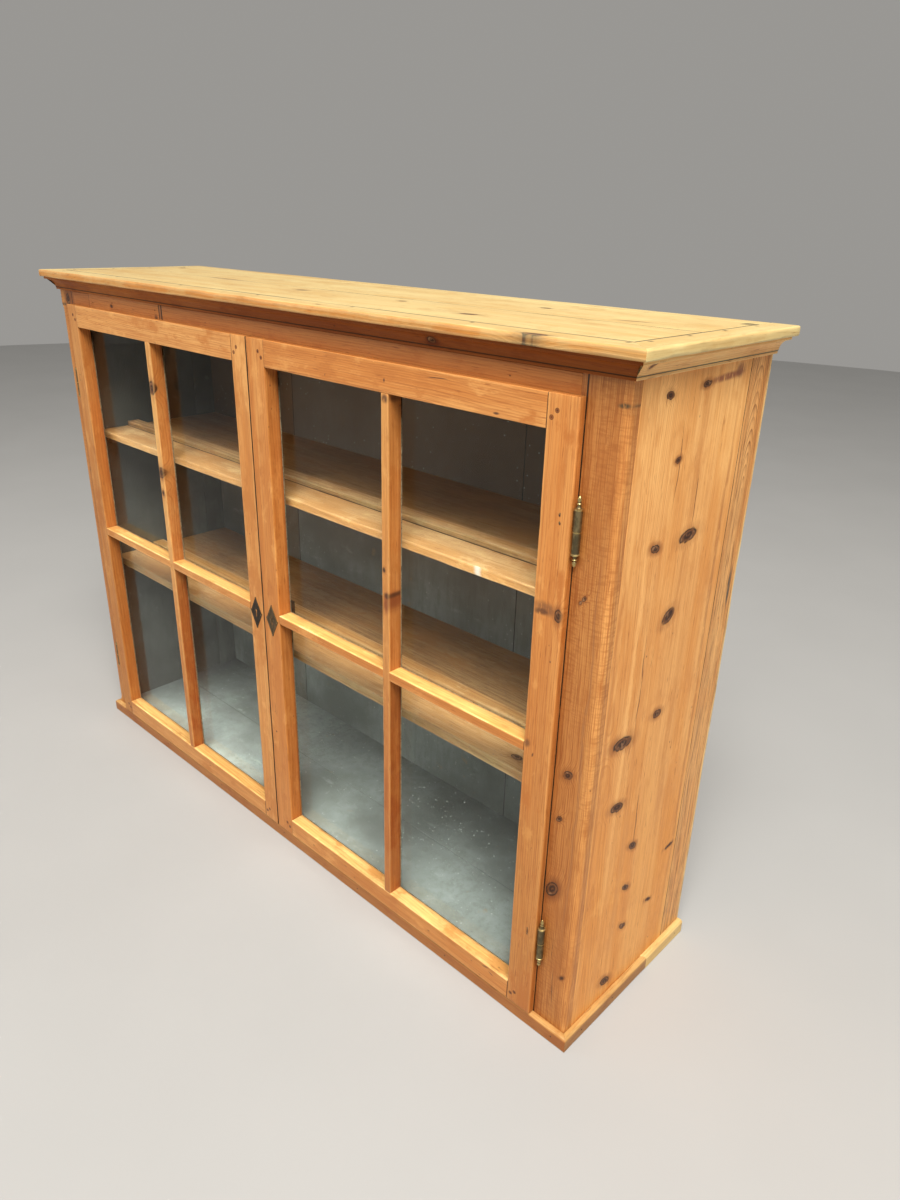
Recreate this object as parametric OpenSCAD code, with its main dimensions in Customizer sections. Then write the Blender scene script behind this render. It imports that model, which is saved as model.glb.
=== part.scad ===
// Two-door display cabinet in old pine: a framed case under a mitred cove and
// a boarded top, two pegged doors with halved glazing bars, and pin hinges
// with turned ends. Millimetres, +Z up, X across the front, -Y towards the user.

/* [Case] */
// Width of the case over its two sides
case_w = 1640; // [1400:10:1900]
// Depth of the case from the front frame to the back
case_d = 400; // [360:5:480]
// Height from the floor to the top surface
case_h = 1232; // [1180:4:1400]
// Thickness of the side boards
side_t = 22; // [18:1:28]
// Width of the narrow rear board of each side
rear_board_w = 70; // [40:5:120]
// Thickness of the front posts and rails
frame_t = 22; // [20:1:28]
// Width of the left front post
left_post_w = 69; // [60:1:90]
// Width of the right front post
right_post_w = 80; // [60:1:95]
// Height of the frieze rail above the doors
frieze_h = 68; // [60:1:90]
// Radius of the rounded outer edge of the posts
corner_r = 20; // [8:1:20]
// Length of square edge left under the cove
corner_stop = 60; // [20:5:120]
// Distance of the frieze repair from the left side
patch_start = 149; // [80:1:300]
// Length of the frieze repair
patch_w = 320; // [100:5:500]
// Height of the frieze repair above the lower edge of the rail
patch_h = 42; // [20:1:50]

/* [Top and cove] */
// Thickness of the top
top_t = 16; // [12:1:24]
// How far the top stands out in front and at both sides
top_out = 32; // [28:1:45]
// How far the top stands out behind
top_out_back = 8; // [0:1:20]
// Width of the mitred strips around the top boards
strip_w = 48; // [42:1:60]
// Width of the strip along the back of the top
back_strip_w = 38; // [25:1:60]
// Radius of the rounded lip of the top
lip_r = 4; // [1:0.5:5]
// Height of the cove moulding
cove_h = 28; // [24:1:40]
// How far the cove stands out below the top
cove_out = 25; // [22:1:27]
// Height of the small step at the foot of the cove
cove_step_h = 5; // [3:0.5:8]
// How far that step stands out
cove_step_out = 6; // [3:0.5:7]

/* [Base] */
// Height of the base strip
base_h = 30; // [20:1:50]
// How far the base strip stands out
base_out = 12; // [8:1:20]
// Bevel along its upper edge
base_bevel = 4; // [1:0.5:6]
// Length of the newer piece at the rear right
base_patch_l = 148; // [60:2:250]

/* [Floor, back and shelves] */
// Height of the floor surface inside
floor_z = 38; // [34:1:42]
// Thickness of the floor boards
floor_t = 16; // [12:1:20]
// Thickness of the back boards
back_t = 12; // [9:1:16]
// Width of the right-hand back board, the others share the rest
back_last_w = 461; // [250:1:550]
// Height of the upper shelf surface
upper_shelf_z = 840; // [700:5:950]
// Thickness of the upper shelf
upper_shelf_t = 16; // [12:1:22]
// Distance of its front edge behind the case front
upper_shelf_y = 42; // [42:1:120]
// Height of the lower shelf surface
lower_shelf_z = 489; // [300:1:540]
// Thickness of the lower shelf
lower_shelf_t = 20; // [12:1:24]
// Distance of its front edge behind the case front
lower_shelf_y = 43; // [42:1:120]
// Distance from the front of the upper shelf to its plate strip
upper_strip_in = 78; // [60:1:120]
// Distance from the front of the lower shelf to its plate strip
lower_strip_in = 108; // [60:1:130]
// Width of the plate strips
plate_strip_w = 32; // [15:1:45]
// Height of the plate strips
plate_strip_h = 12; // [6:1:18]
// Width and height of the cleats under the shelves
cleat_s = 20; // [14:1:28]

/* [Doors] */
// Thickness of the door in front of the case
door_proud = 15; // [14:0.5:20]
// Thickness of the door inside the case
door_in = 22; // [20:1:26]
// How far the door lip laps over the frame
overlay = 10; // [6:1:14]
// Gap between the door and the frame inside the lip
door_fit = 1.7; // [1:0.1:3]
// Gap behind the lip
lip_gap = 0.5; // [0.3:0.1:1]
// Gap between the base strip and the door
foot_gap = 2; // [1:0.5:4]
// Gap between the two doors
meeting_gap = 2.4; // [2:0.2:4]
// Distance of that gap left of the middle
meeting_off = 17; // [0:0.5:60]
// Width of the left door's hinge stile
left_hinge_stile_w = 41.5; // [40:0.5:60]
// Width of the left door's meeting stile
left_meeting_stile_w = 48; // [46:0.5:64]
// Width of the right door's hinge stile
right_hinge_stile_w = 53; // [40:0.5:70]
// Width of the right door's meeting stile
right_meeting_stile_w = 54; // [54:0.5:75]
// Height of the doors' top rails
top_rail_h = 50; // [46:1:70]
// Height of the doors' bottom rails
bottom_rail_h = 42; // [40:1:70]
// Width of the upright glazing bars
bar_w = 17; // [14:0.5:24]
// Width of the level glazing bars
cross_bar_w = 18.6; // [14:0.2:24]
// Length of the rail tenons
tenon_l = 26; // [16:1:26]
// Thickness of the tenons
tenon_t = 12; // [8:1:14]
// Length of the stub tenons on the glazing bars
stub_l = 10; // [5:1:14]
// Radius of the pegs through the joints
peg_r = 2.5; // [1.5:0.25:3]

/* [Glass] */
// Distance of the glass behind the case front
glass_y = 15; // [12:0.5:16]
// Thickness of the panes
glass_t = 3; // [2:0.5:4]
// Width of the glass rebate
rebate_w = 8; // [6:0.5:9]
// Width of the tongue behind each glazing bar
tongue_w = 6; // [4:0.5:8]
// Gap around each pane
pane_gap = 0.8; // [0.3:0.1:1.5]

/* [Hinges] */
// Height of the middle of the upper hinges
hinge_high_z = 971; // [900:1:1050]
// Height of the middle of the lower hinges
hinge_low_z = 206; // [160:1:260]
// Distance of the hinge pin from the edge of the door
hinge_out = 8; // [7.5:0.5:11]
// Radius of the hinge barrel
barrel_r = 6; // [5:0.25:6.5]
// Length of each half of the barrel
knuckle_l = 32; // [26:1:40]
// Radius of the hinge pin
pin_r = 3; // [2:0.25:3.5]
// Running clearance around the hinge pin
pin_fit = 0.05; // [0.02:0.01:0.09]
// Length of the turned end
finial_l = 21.5; // [16:0.5:28]
// Thickness of the leaves
leaf_t = 2; // [1.5:0.25:3]
// Depth of the leaf in the door edge
leaf_in_door = 28; // [22:1:32]
// Depth of the leaf in the front post
leaf_in_post = 18; // [12:1:18]
// Radius of the pins that hold the leaves
leaf_pin_r = 1.5; // [1:0.25:2]

/* [Locks and bolts] */
// Height of the middle of the diamond plates
plate_z = 581; // [560:1:600]
// Distance of the left keyhole from the meeting edge
left_keyhole_in = 26; // [22:0.5:28]
// Distance of the right keyhole from the meeting edge
right_keyhole_in = 28; // [24:0.5:32]
// Width of the diamond plates
plate_w = 39; // [28:1:40]
// Height of the diamond plates
plate_h = 73; // [56:1:90]
// Thickness of the diamond plates
plate_t = 1.2; // [0.8:0.1:2]
// Radius of the eye of the keyholes
eye_r = 3; // [2:0.25:3.5]
// Length of the keyhole slot below the middle of its eye
slot_h = 15; // [8:0.5:18]
// Width of the lock case
lock_w = 44; // [40:1:44]
// Height of the lock case
lock_h = 60; // [50:1:80]
// Thickness of the lock case
lock_t = 12; // [11:0.5:14]
// Height of the lock bolt
bolt_h = 12; // [8:0.5:14]
// Thickness of the lock bolt
bolt_t = 6; // [4:0.5:6]
// How far the lock bolt shoots
bolt_throw = 10; // [6:1:10]
// Radius of the two rod bolts of the left door
rod_r = 3.5; // [2.5:0.25:3.75]
// Length of each rod bolt
rod_l = 92; // [80:1:120]
// How far each rod bolt slides
rod_throw = 12; // [8:1:12]

/* [Hidden] */
$fn = 48;

pine = "#c68a4e";
pale_pine = "#dba561";
painted = "#5d6468";
dark_wood = "#8a5530";
glass_tint = "#9db3b0";
old_brass = "#8b7440";
dark_iron = "#3a3430";
putty_tint = "#b9a98a";

// Small clearances shared by all pieces
touch = 0.1;
seam = 0.5;
slack = 0.3;
over = 1;

// Places in the case
half_w = case_w / 2;
side_in = half_w - side_t;
under_top = case_h - top_t;
frieze_z = under_top - frieze_h;
back_y = case_d - back_t;
back_rebate = side_t / 2 - 1;
rear_y = case_d - rear_board_w;
origin_y = (case_d + top_out_back - top_out) / 2;
housing = side_t / 3;
case_tenon_l = 30;
case_tenon_t = 10;
tenon_step = 8;
strip_in = strip_w - top_out;
back_strip_y = case_d + top_out_back - back_strip_w;
patch_t = 10;
shelf_end = side_in - slack;
hinge_zs = [hinge_low_z, hinge_high_z];

// Places on the doors, where u runs from the hinge edge to the meeting edge
door_z0 = base_h + foot_gap;
door_z1 = frieze_z + overlay;
foot_rail_h = door_z0 + overlay;
inner_in = overlay + door_fit;
inner_z0 = door_z0 + inner_in;
inner_z1 = door_z1 - inner_in;
sight_z0 = door_z0 + bottom_rail_h;
sight_z1 = door_z1 - top_rail_h;
sight_mid = (sight_z0 + sight_z1) / 2;
door_t = door_proud + door_in;
glass_wall = 7;
tenon_y = glass_y - glass_wall - tenon_t;
hinge_y = -door_proud / 2;
glass_back = glass_y + glass_t;
putty_t = door_in - glass_back;
left_edge = -half_w + left_post_w - overlay;
right_edge = half_w - right_post_w + overlay;
left_door_w = -meeting_off - meeting_gap / 2 - left_edge;
right_door_w = right_edge + meeting_off - meeting_gap / 2;

// Shoulders of the rails and the meeting edges: s at the hinge stile, m and e at the other
ls = left_hinge_stile_w;
lm = left_door_w - left_meeting_stile_w;
le = left_door_w;
rs = right_hinge_stile_w;
rm = right_door_w - right_meeting_stile_w;
re = right_door_w;

// Joints of the door frames
stub_shoulder = 2;
tenon_wall = 1;
tenon_foot_in = 2;
tenon_head_in = 3;
peg_in = 8;
peg_step = 9;
peg_shares = [0.3, 0.7];

// Hinges
axis_in = overlay + hinge_out;
leaf_inset = 2;
leaf_pin_shares = [0.3, 0.7];
leaf_pin_y = leaf_in_post * 0.6;
leaf_pin_u = hinge_out + leaf_in_door * 0.64;
ring_t = 1.5;
ring_out = 0.4;
pin_run = 5;

// Lock and rod bolts
lock_edge_gap = 0.7;
keyhole_z = plate_z + slot_h / 3;
lock_bolt_z = keyhole_z + bolt_h / 2 + eye_r;
lock_bolt_l = 36;
lock_plate_t = 2.7;
bolt_y = door_in + lock_plate_t;
lock_u1 = right_door_w - lock_edge_gap;
lock_u0 = lock_u1 - lock_w;
lock_screw_in = 5;
rod_plate_t = 2;
rod_y = door_in + rod_plate_t + rod_r + slack;
rod_plate_l = rod_l + 10;
rod_plate_w = 22;
rod_gap = 1.5;
staple_wall = 2.5;
staple_h = 8;
staple_w = 2 * rod_r + 7;
staple_t = 2 * rod_r + 2 * slack + 2;
staple_in = 10;
tip_gap = 2;
bolt_mid_in = (left_meeting_stile_w - rebate_w) / 2;
rod_x = left_edge + left_door_w - bolt_mid_in;

// Nails, screws and plate pins
nail_r = 1.6;
nail_fit = 0.05;
top_nail_l = 12;
base_nail_l = base_out - 1;
screw_r = 1.4;
screw_in = 7;
boss_r = 2.2;
plate_pin_r = 1;
plate_pin_l = 9;
pin_head_r = 1.7;
pin_head_h = 0.8;

// Placing: the case frame, its two outer edges and the two doors
module in_frame() { translate([0, -origin_y, 0]) children(); }
module from_left() { in_frame() translate([-half_w, 0, 0]) children(); }
module from_right() { in_frame() translate([half_w, 0, 0]) mirror([1, 0, 0]) children(); }
module on_left_door() { in_frame() translate([left_edge, 0, 0]) children(); }
module on_right_door() { in_frame() translate([right_edge, 0, 0]) mirror([1, 0, 0]) children(); }

// A box from one corner to the opposite corner
module span(a, b) { translate(a) cube(b - a); }

// A profile drawn as [outwards, upwards], run along the front or the right side
module run_front(x0, x1) {
    translate([x0, 0, 0]) rotate([90, 0, 90]) linear_extrude(x1 - x0) mirror([1, 0]) children();
}
module run_side(y0, y1) {
    translate([half_w, y1, 0]) rotate([90, 0, 0]) linear_extrude(y1 - y0) children();
}

// Plan areas that meet in a mitre through the case corner
module front_area() {
    r = 2 * strip_w;
    linear_extrude(case_h + over)
        polygon([[-half_w - r, -r], [half_w + r, -r], [half_w - r, r], [-half_w + r, r]]);
}
module side_area() {
    r = 2 * strip_w;
    linear_extrude(case_h + over)
        polygon([[half_w + r, -r], [half_w + r, case_d + r], [half_w - r, case_d + r], [half_w - r, r]]);
}

// Nail places: across the front and along the sides of the top and the base
top_nail_in = 20;
side_nail_in = [40, 60];
base_nail_in = 30;
patch_nail_in = 18;
patch_nail_stagger = 6;
top_nail_xs = [for (k = [-3:3]) k * (half_w - top_nail_in) / 3];
side_nail_ys = [for (k = [0:3]) side_nail_in[0] + k * (case_d - side_nail_in[0] - side_nail_in[1]) / 3];
patch_nail_xs = [for (k = [0:3]) patch_start + patch_nail_in + k * (patch_w - 2 * patch_nail_in) / 3];
module nail(r, gap, l) { translate([0, 0, -gap]) cylinder(r = r, h = l + 2 * gap); }
module top_front_nails(r, gap) {
    for (x = top_nail_xs)
        translate([x, frame_t / 3, case_h - top_nail_l]) nail(r, gap, top_nail_l);
}
module top_side_nails(r, gap) {
    for (y = side_nail_ys)
        translate([half_w - side_t / 3, y, case_h - top_nail_l]) nail(r, gap, top_nail_l);
}
module base_front_nails(r, gap) {
    for (x = top_nail_xs)
        translate([x, -base_out, base_h / 2]) rotate([-90, 0, 0]) nail(r, gap, base_nail_l);
}
module base_side_nails(r, gap) {
    for (y = [side_nail_ys[0], side_nail_ys[1], case_d - base_nail_in])
        translate([half_w + base_out, y, base_h / 2]) rotate([0, -90, 0]) nail(r, gap, base_nail_l);
}
module patch_nails(r, gap) {
    for (k = [0:3])
        translate([-half_w + patch_nail_xs[k], 0, frieze_z + patch_h / 2 + (k % 2) * patch_nail_stagger])
            rotate([-90, 0, 0]) nail(r, gap, patch_t - over);
}

// Sides: a wide board and a narrow rear board, housed for the floor
module side() {
    z1 = under_top;
    difference() {
        union() {
            span([0, frame_t, 0], [side_t, rear_y - seam / 2, z1]);
            span([0, rear_y + seam / 2, 0], [side_t, case_d, z1]);
        }
        span([side_t - back_rebate, back_y, -over], [side_t + over, case_d + over, z1 + over]);
        span([side_t - housing, frame_t - over, floor_z - floor_t], [side_t + over, back_y, floor_z + touch]);
    }
}
module left_side() { color(pine) from_left() side(); }
module right_side() { color(pale_pine) from_right() side(); }

// Posts: the outer edge is rounded and stops short at both ends
module corner_round() {
    foot_stop = 6;
    z0 = base_h + foot_stop;
    z1 = under_top - cove_h - corner_stop;
    slope = 58;
    big = 200;
    difference() {
        span([-over, -over, z0], [corner_r, corner_r, z1]);
        translate([corner_r, corner_r, z0 - over]) cylinder(r = corner_r, h = z1 - z0 + 2 * over, $fn = 64);
        translate([0, 0, z1]) rotate([0, slope, 45]) translate([-big / 2, -big / 2, 0]) cube(big);
        translate([0, 0, z0]) rotate([0, -slope, 45]) translate([-big / 2, -big / 2, -big]) cube(big);
    }
}

// Mortises in a post, whose inner edge is at w, for a rail from z0 to z1
module case_mortise(w, z0, z1) {
    span([w - case_tenon_l - over, frame_t / 2 - case_tenon_t / 2 - touch, z0 - touch],
         [w + over, frame_t / 2 + case_tenon_t / 2 + touch, z1 + touch]);
}
module post(w) {
    axis_u = w - axis_in;
    difference() {
        cube([w, frame_t, under_top]);
        corner_round();
        case_mortise(w, frieze_z + tenon_step, under_top - tenon_step);
        case_mortise(w, tenon_step, foot_rail_h - tenon_step);
        for (z = hinge_zs) {
            translate([axis_u, hinge_y, z]) post_leaf(touch);
            translate([axis_u, 0, z]) post_leaf_pins(nail_fit, over);
        }
    }
}
module left_post() { color(pine) from_left() post(left_post_w); }
module right_post() { color(pine) from_right() post(right_post_w); }

// Rails between the posts, with their tenons
module case_rail(z0, z1, t0, t1) {
    span([-half_w + left_post_w, 0, z0], [half_w - right_post_w, frame_t, z1]);
    span([-half_w + left_post_w - case_tenon_l, frame_t / 2 - case_tenon_t / 2, t0],
         [half_w - right_post_w + case_tenon_l, frame_t / 2 + case_tenon_t / 2, t1]);
}
module patch_area(gap) {
    span([-half_w + patch_start - gap, -over, frieze_z - over],
         [-half_w + patch_start + patch_w + gap, patch_t + gap, frieze_z + patch_h + gap]);
}
module frieze_rail() {
    color(pine) in_frame() difference() {
        case_rail(frieze_z, under_top, frieze_z + tenon_step, under_top - tenon_step);
        patch_area(touch);
    }
}
module frieze_patch() {
    color(pale_pine) in_frame() difference() {
        intersection() {
            patch_area(0);
            span([-half_w, 0, frieze_z], [half_w, frame_t, under_top]);
        }
        patch_nails(nail_r + nail_fit, touch);
    }
}
module bottom_rail() {
    color(pine) in_frame() case_rail(0, foot_rail_h, tenon_step, foot_rail_h - tenon_step);
}

// Floor: two boards housed in the sides, notched in front for the lower rod bolt
module floor_boards() {
    ends = side_in + housing - slack;
    mid_y = (frame_t + back_y) / 2;
    color(painted) in_frame() difference() {
        union() {
            span([-ends, frame_t, floor_z - floor_t], [ends, mid_y - seam / 2, floor_z]);
            span([-ends, mid_y + seam / 2, floor_z - floor_t], [ends, back_y, floor_z]);
        }
        rod_room(floor_z - floor_t - over, floor_z + over);
    }
}

// Base strip: bevelled, mitred at the front corners, pieced at the rear right
module base_profile() {
    polygon([
        [0, 0], [base_out, 0], [base_out, base_h - base_bevel],
        [base_out - base_bevel, base_h], [0, base_h]
    ]);
}
module base_front() {
    color(pine) in_frame() difference() {
        intersection() {
            run_front(-half_w - base_out, half_w + base_out) base_profile();
            front_area();
        }
        base_front_nails(nail_r + nail_fit, touch);
    }
}
module base_side() {
    difference() {
        intersection() {
            run_side(-base_out, case_d) base_profile();
            side_area();
        }
        base_side_nails(nail_r + nail_fit, touch);
    }
}
module patch_cut(gap) {
    scarf = 8;
    y0 = case_d - base_patch_l - gap;
    translate([0, 0, -over]) linear_extrude(base_h + 2 * over)
        polygon([[half_w, y0], [half_w + base_out + over, y0 + scarf],
                 [half_w + base_out + over, case_d + over], [half_w, case_d + over]]);
}
module base_left() { color(pine) in_frame() mirror([1, 0, 0]) base_side(); }
module base_right() {
    color(pine) in_frame() difference() {
        base_side();
        patch_cut(touch);
    }
}
module base_patch() {
    color(pale_pine) in_frame() intersection() {
        base_side();
        patch_cut(0);
    }
}

// Cove: a hollow quarter round over a small step, mitred at the front corners
module cove_profile() {
    fillet_in = 1;
    r = cove_out - cove_step_out - fillet_in;
    fillet_z = under_top - cove_h + cove_step_h;
    difference() {
        translate([0, fillet_z]) square([cove_out, cove_h - cove_step_h]);
        translate([cove_out, fillet_z]) circle(r = r, $fn = 96);
    }
    translate([0, under_top - cove_h]) square([cove_step_out, cove_step_h]);
}
module cove_front() {
    color(dark_wood) in_frame() intersection() {
        run_front(-half_w - cove_out, half_w + cove_out) cove_profile();
        front_area();
    }
}
module cove_side() {
    intersection() {
        run_side(-cove_out, case_d) cove_profile();
        side_area();
    }
}
module cove_left() { color(dark_wood) in_frame() mirror([1, 0, 0]) cove_side(); }
module cove_right() { color(dark_wood) in_frame() cove_side(); }

// Top: two boards inside mitred strips with a rounded lip
module top_profile() {
    translate([top_out - strip_w, under_top]) {
        square([strip_w - lip_r, top_t]);
        translate([0, lip_r]) square([strip_w, top_t - 2 * lip_r]);
        for (z = [lip_r, top_t - lip_r]) translate([strip_w - lip_r, z]) circle(r = lip_r);
    }
}
module top_front_strip() {
    color(pale_pine) in_frame() difference() {
        intersection() {
            run_front(-half_w - top_out, half_w + top_out) top_profile();
            front_area();
        }
        top_front_nails(nail_r + nail_fit, touch);
    }
}
module top_side_strip() {
    difference() {
        intersection() {
            run_side(-top_out, case_d + top_out_back) top_profile();
            side_area();
        }
        top_side_nails(nail_r + nail_fit, touch);
    }
}
module top_left_strip() { color(pale_pine) in_frame() mirror([1, 0, 0]) top_side_strip(); }
module top_right_strip() { color(pale_pine) in_frame() top_side_strip(); }
module top_back_strip() {
    ends = half_w - strip_in - touch;
    color(pale_pine) in_frame()
        span([-ends, back_strip_y, under_top], [ends, case_d + top_out_back, case_h]);
}
module top_boards() {
    ends = half_w - strip_in - seam;
    y0 = strip_in + seam;
    y1 = back_strip_y - seam;
    mid_y = (y0 + y1) / 2;
    color(pale_pine) in_frame() {
        span([-ends, y0, under_top], [ends, mid_y - seam / 2, case_h]);
        span([-ends, mid_y + seam / 2, under_top], [ends, y1, case_h]);
    }
}

// Back: upright boards, tongued on the right edge and grooved on the left
module back_boards() {
    count = 4;
    ends = side_in + back_rebate - slack;
    share = (2 * ends - back_last_w) / (count - 1);
    tongue = 5;
    tongue_t = back_t / 3;
    color(painted) in_frame() for (k = [0:count - 1]) {
        x0 = -ends + k * share + seam / 2;
        x1 = k == count - 1 ? ends : -ends + (k + 1) * share - seam / 2;
        difference() {
            union() {
                span([x0, back_y, 0], [x1, case_d, under_top]);
                if (k < count - 1)
                    span([x1 - over, back_y + tongue_t, 0], [x1 + tongue, back_y + 2 * tongue_t, under_top]);
            }
            if (k > 0)
                span([x0 - over, back_y + tongue_t - seam, -over],
                     [x0 + tongue + seam, back_y + 2 * tongue_t + seam, under_top + over]);
        }
    }
}

// Shelves on cleats, each with a strip that stops leaning plates
module shelf(z, t, y0) {
    span([-shelf_end, y0, z - t], [shelf_end, back_y - slack, z]);
}
module plate_strip(z, y0) {
    span([-shelf_end, y0, z], [shelf_end, y0 + plate_strip_w, z + plate_strip_h]);
}
module upper_shelf() { color(pale_pine) in_frame() shelf(upper_shelf_z, upper_shelf_t, upper_shelf_y); }
module lower_shelf() { color(pale_pine) in_frame() shelf(lower_shelf_z, lower_shelf_t, lower_shelf_y); }
module upper_plate_strip() {
    color(dark_wood) in_frame() plate_strip(upper_shelf_z, upper_shelf_y + upper_strip_in);
}
module lower_plate_strip() {
    color(dark_wood) in_frame() plate_strip(lower_shelf_z, lower_shelf_y + lower_strip_in);
}
module shelf_cleats() {
    cleat_in = 20;
    places = [[upper_shelf_z - upper_shelf_t, upper_shelf_y], [lower_shelf_z - lower_shelf_t, lower_shelf_y]];
    color(painted) in_frame() for (p = places) for (m = [0, 1]) mirror([m, 0, 0])
        span([side_in - cleat_s, p[1] + cleat_in, p[0] - cleat_s], [side_in, back_y, p[0]]);
}

// Turned end of a hinge: collar, neck, bead, neck and acorn, from z = 0 up
module finial() {
    collar_h = finial_l * 0.09;
    collar_r = barrel_r + 0.6;
    cone_h = finial_l * 0.3;
    cone_r = barrel_r * 0.75;
    neck_r = barrel_r * 0.42;
    bead_z = finial_l * 0.42;
    bead_r = finial_l * 0.045;
    bead_mid_r = barrel_r * 0.4;
    acorn_z = finial_l * 0.56;
    acorn_h = finial_l - acorn_z;
    acorn_r = barrel_r * 0.55;
    bulge = 0.15;
    cylinder(r = collar_r, h = collar_h);
    cylinder(r1 = cone_r, r2 = neck_r, h = cone_h);
    cylinder(r = neck_r, h = acorn_z + over);
    translate([0, 0, bead_z]) rotate_extrude() translate([bead_mid_r, 0]) circle(r = bead_r, $fn = 24);
    translate([0, 0, acorn_z]) rotate_extrude() polygon([
        [0, 0],
        for (a = [0:15:90]) [acorn_r * cos(a) * (1 + bulge * sin(2 * a)), acorn_h * sin(a)]
    ]);
}

// Hinge leaves, and the pins that hold them, around the hinge axis
module post_leaf(gap) {
    span([-leaf_t / 2 - gap, 0, -knuckle_l + leaf_inset - gap],
         [leaf_t / 2 + gap, leaf_in_post - hinge_y + gap, -leaf_inset + gap]);
}
module post_leaf_pins(gap, reach) {
    for (k = leaf_pin_shares)
        translate([-pin_run, leaf_pin_y, -knuckle_l * k])
            rotate([0, 90, 0]) cylinder(r = leaf_pin_r + gap, h = axis_in + pin_run + reach);
}
module door_leaf(gap) {
    span([0, -leaf_t / 2 - gap, leaf_inset - gap],
         [hinge_out + leaf_in_door + gap, leaf_t / 2 + gap, knuckle_l - leaf_inset + gap]);
}
module door_leaf_pins(gap, reach) {
    for (k = leaf_pin_shares)
        translate([leaf_pin_u, hinge_y - reach, knuckle_l * k])
            rotate([-90, 0, 0]) cylinder(r = leaf_pin_r + gap, h = door_proud - pin_run + reach);
}

// Lower half: it carries the pin, and its leaf goes straight back into the post
module post_half() {
    difference() {
        union() {
            translate([0, 0, -knuckle_l]) cylinder(r = barrel_r, h = knuckle_l);
            translate([0, 0, -ring_t / 2]) cylinder(r = barrel_r + ring_out, h = ring_t);
            cylinder(r = pin_r, h = knuckle_l - pin_run);
            translate([0, 0, -knuckle_l]) mirror([0, 0, 1]) finial();
            post_leaf(0);
        }
        translate([0, -hinge_y, 0]) post_leaf_pins(nail_fit, over);
    }
}
module hinge_post_halves() {
    color(old_brass) {
        for (z = hinge_zs) {
            from_left() translate([left_post_w - axis_in, hinge_y, z]) post_half();
            from_right() translate([right_post_w - axis_in, hinge_y, z]) post_half();
        }
    }
}

// Upper half: bored for the pin, with its leaf let into the edge of the door
module door_half() {
    difference() {
        union() {
            translate([0, 0, ring_t / 2 + touch]) cylinder(r = barrel_r, h = knuckle_l - ring_t / 2 - touch);
            translate([0, 0, knuckle_l]) finial();
            door_leaf(0);
        }
        translate([0, 0, -over]) cylinder(r = pin_r + pin_fit, h = knuckle_l - pin_run + 2 * over);
        door_leaf_pins(nail_fit, over);
    }
}
module door_halves() {
    for (z = hinge_zs) translate([-hinge_out, hinge_y, z]) door_half();
}
module left_hinge_halves() { color(old_brass) on_left_door() door_halves(); }
module right_hinge_halves() { color(old_brass) on_right_door() door_halves(); }

module case_nails() {
    color(dark_iron) {
        in_frame() {
            top_front_nails(nail_r, 0);
            base_front_nails(nail_r, 0);
            patch_nails(nail_r, 0);
            for (m = [0, 1]) mirror([m, 0, 0]) {
                top_side_nails(nail_r, 0);
                base_side_nails(nail_r, 0);
            }
        }
        for (z = hinge_zs) {
            from_left() translate([left_post_w - axis_in, 0, z]) post_leaf_pins(0, 0);
            from_right() translate([right_post_w - axis_in, 0, z]) post_leaf_pins(0, 0);
        }
    }
}

// Room for a rod bolt behind the case rails, and the staple over it on the frieze rail
module rod_room(z0, z1) {
    room = rod_r + rod_gap;
    span([rod_x - room, frame_t - over, z0], [rod_x + room, rod_y + room, z1]);
}
module top_bolt_keep() {
    wall = rod_r + rod_gap + staple_wall;
    z0 = frieze_z + over;
    color(dark_iron) in_frame() difference() {
        span([rod_x - wall, frame_t, z0], [rod_x + wall, rod_y + wall, z0 + rod_throw]);
        rod_room(z0 - over, z0 + rod_throw + over);
    }
}

// Tenons of a rail whose inner edge meets the panes
function tenon_z(top) = top
    ? [sight_z1 + rebate_w + tenon_wall, inner_z1 - tenon_head_in]
    : [inner_z0 + tenon_foot_in, sight_z0 - rebate_w - tenon_wall];

// A hole or a peg at each corner joint, u0 is the shoulder, dir points into the stile
module corner_pegs(u0, dir, r, gap) {
    for (top = [false, true]) {
        t = tenon_z(top);
        for (k = [0, 1])
            translate([u0 + dir * (peg_in + peg_step * k), 0, t[0] + (t[1] - t[0]) * peg_shares[k]])
                translate([0, -door_proud, 0]) rotate([-90, 0, 0]) nail(r, gap, door_t);
    }
}

// Mortises of a stile whose shoulder is at u0
module stile_mortises(u0, dir) {
    for (top = [false, true]) {
        t = tenon_z(top);
        translate([u0, 0, 0]) mirror([dir < 0 ? 1 : 0, 0, 0])
            span([-over, tenon_y - touch, t[0] - touch],
                 [tenon_l + over, tenon_y + tenon_t + touch, t[1] + touch]);
    }
    translate([u0, 0, 0]) mirror([dir < 0 ? 1 : 0, 0, 0])
        span([-over, tenon_y - touch, sight_mid - cross_bar_w / 2 + stub_shoulder - touch],
             [stub_l + over, tenon_y + tenon_t + touch, sight_mid + cross_bar_w / 2 - stub_shoulder + touch]);
}

// Hinge stile: rebated on three edges, slotted for the hinge leaves
module hinge_stile(w) {
    difference() {
        union() {
            span([0, -door_proud, door_z0], [w, -lip_gap, door_z1]);
            span([inner_in, -door_proud / 2, inner_z0], [w, door_in, inner_z1]);
        }
        span([w - rebate_w, glass_y, sight_z0 - rebate_w], [w + over, door_in + over, sight_z1 + rebate_w]);
        stile_mortises(w, -1);
        corner_pegs(w, -1, peg_r + nail_fit, over);
        for (z = hinge_zs) {
            translate([-hinge_out, hinge_y, z]) {
                door_leaf(touch);
                door_leaf_pins(nail_fit, over);
            }
        }
    }
}

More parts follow.
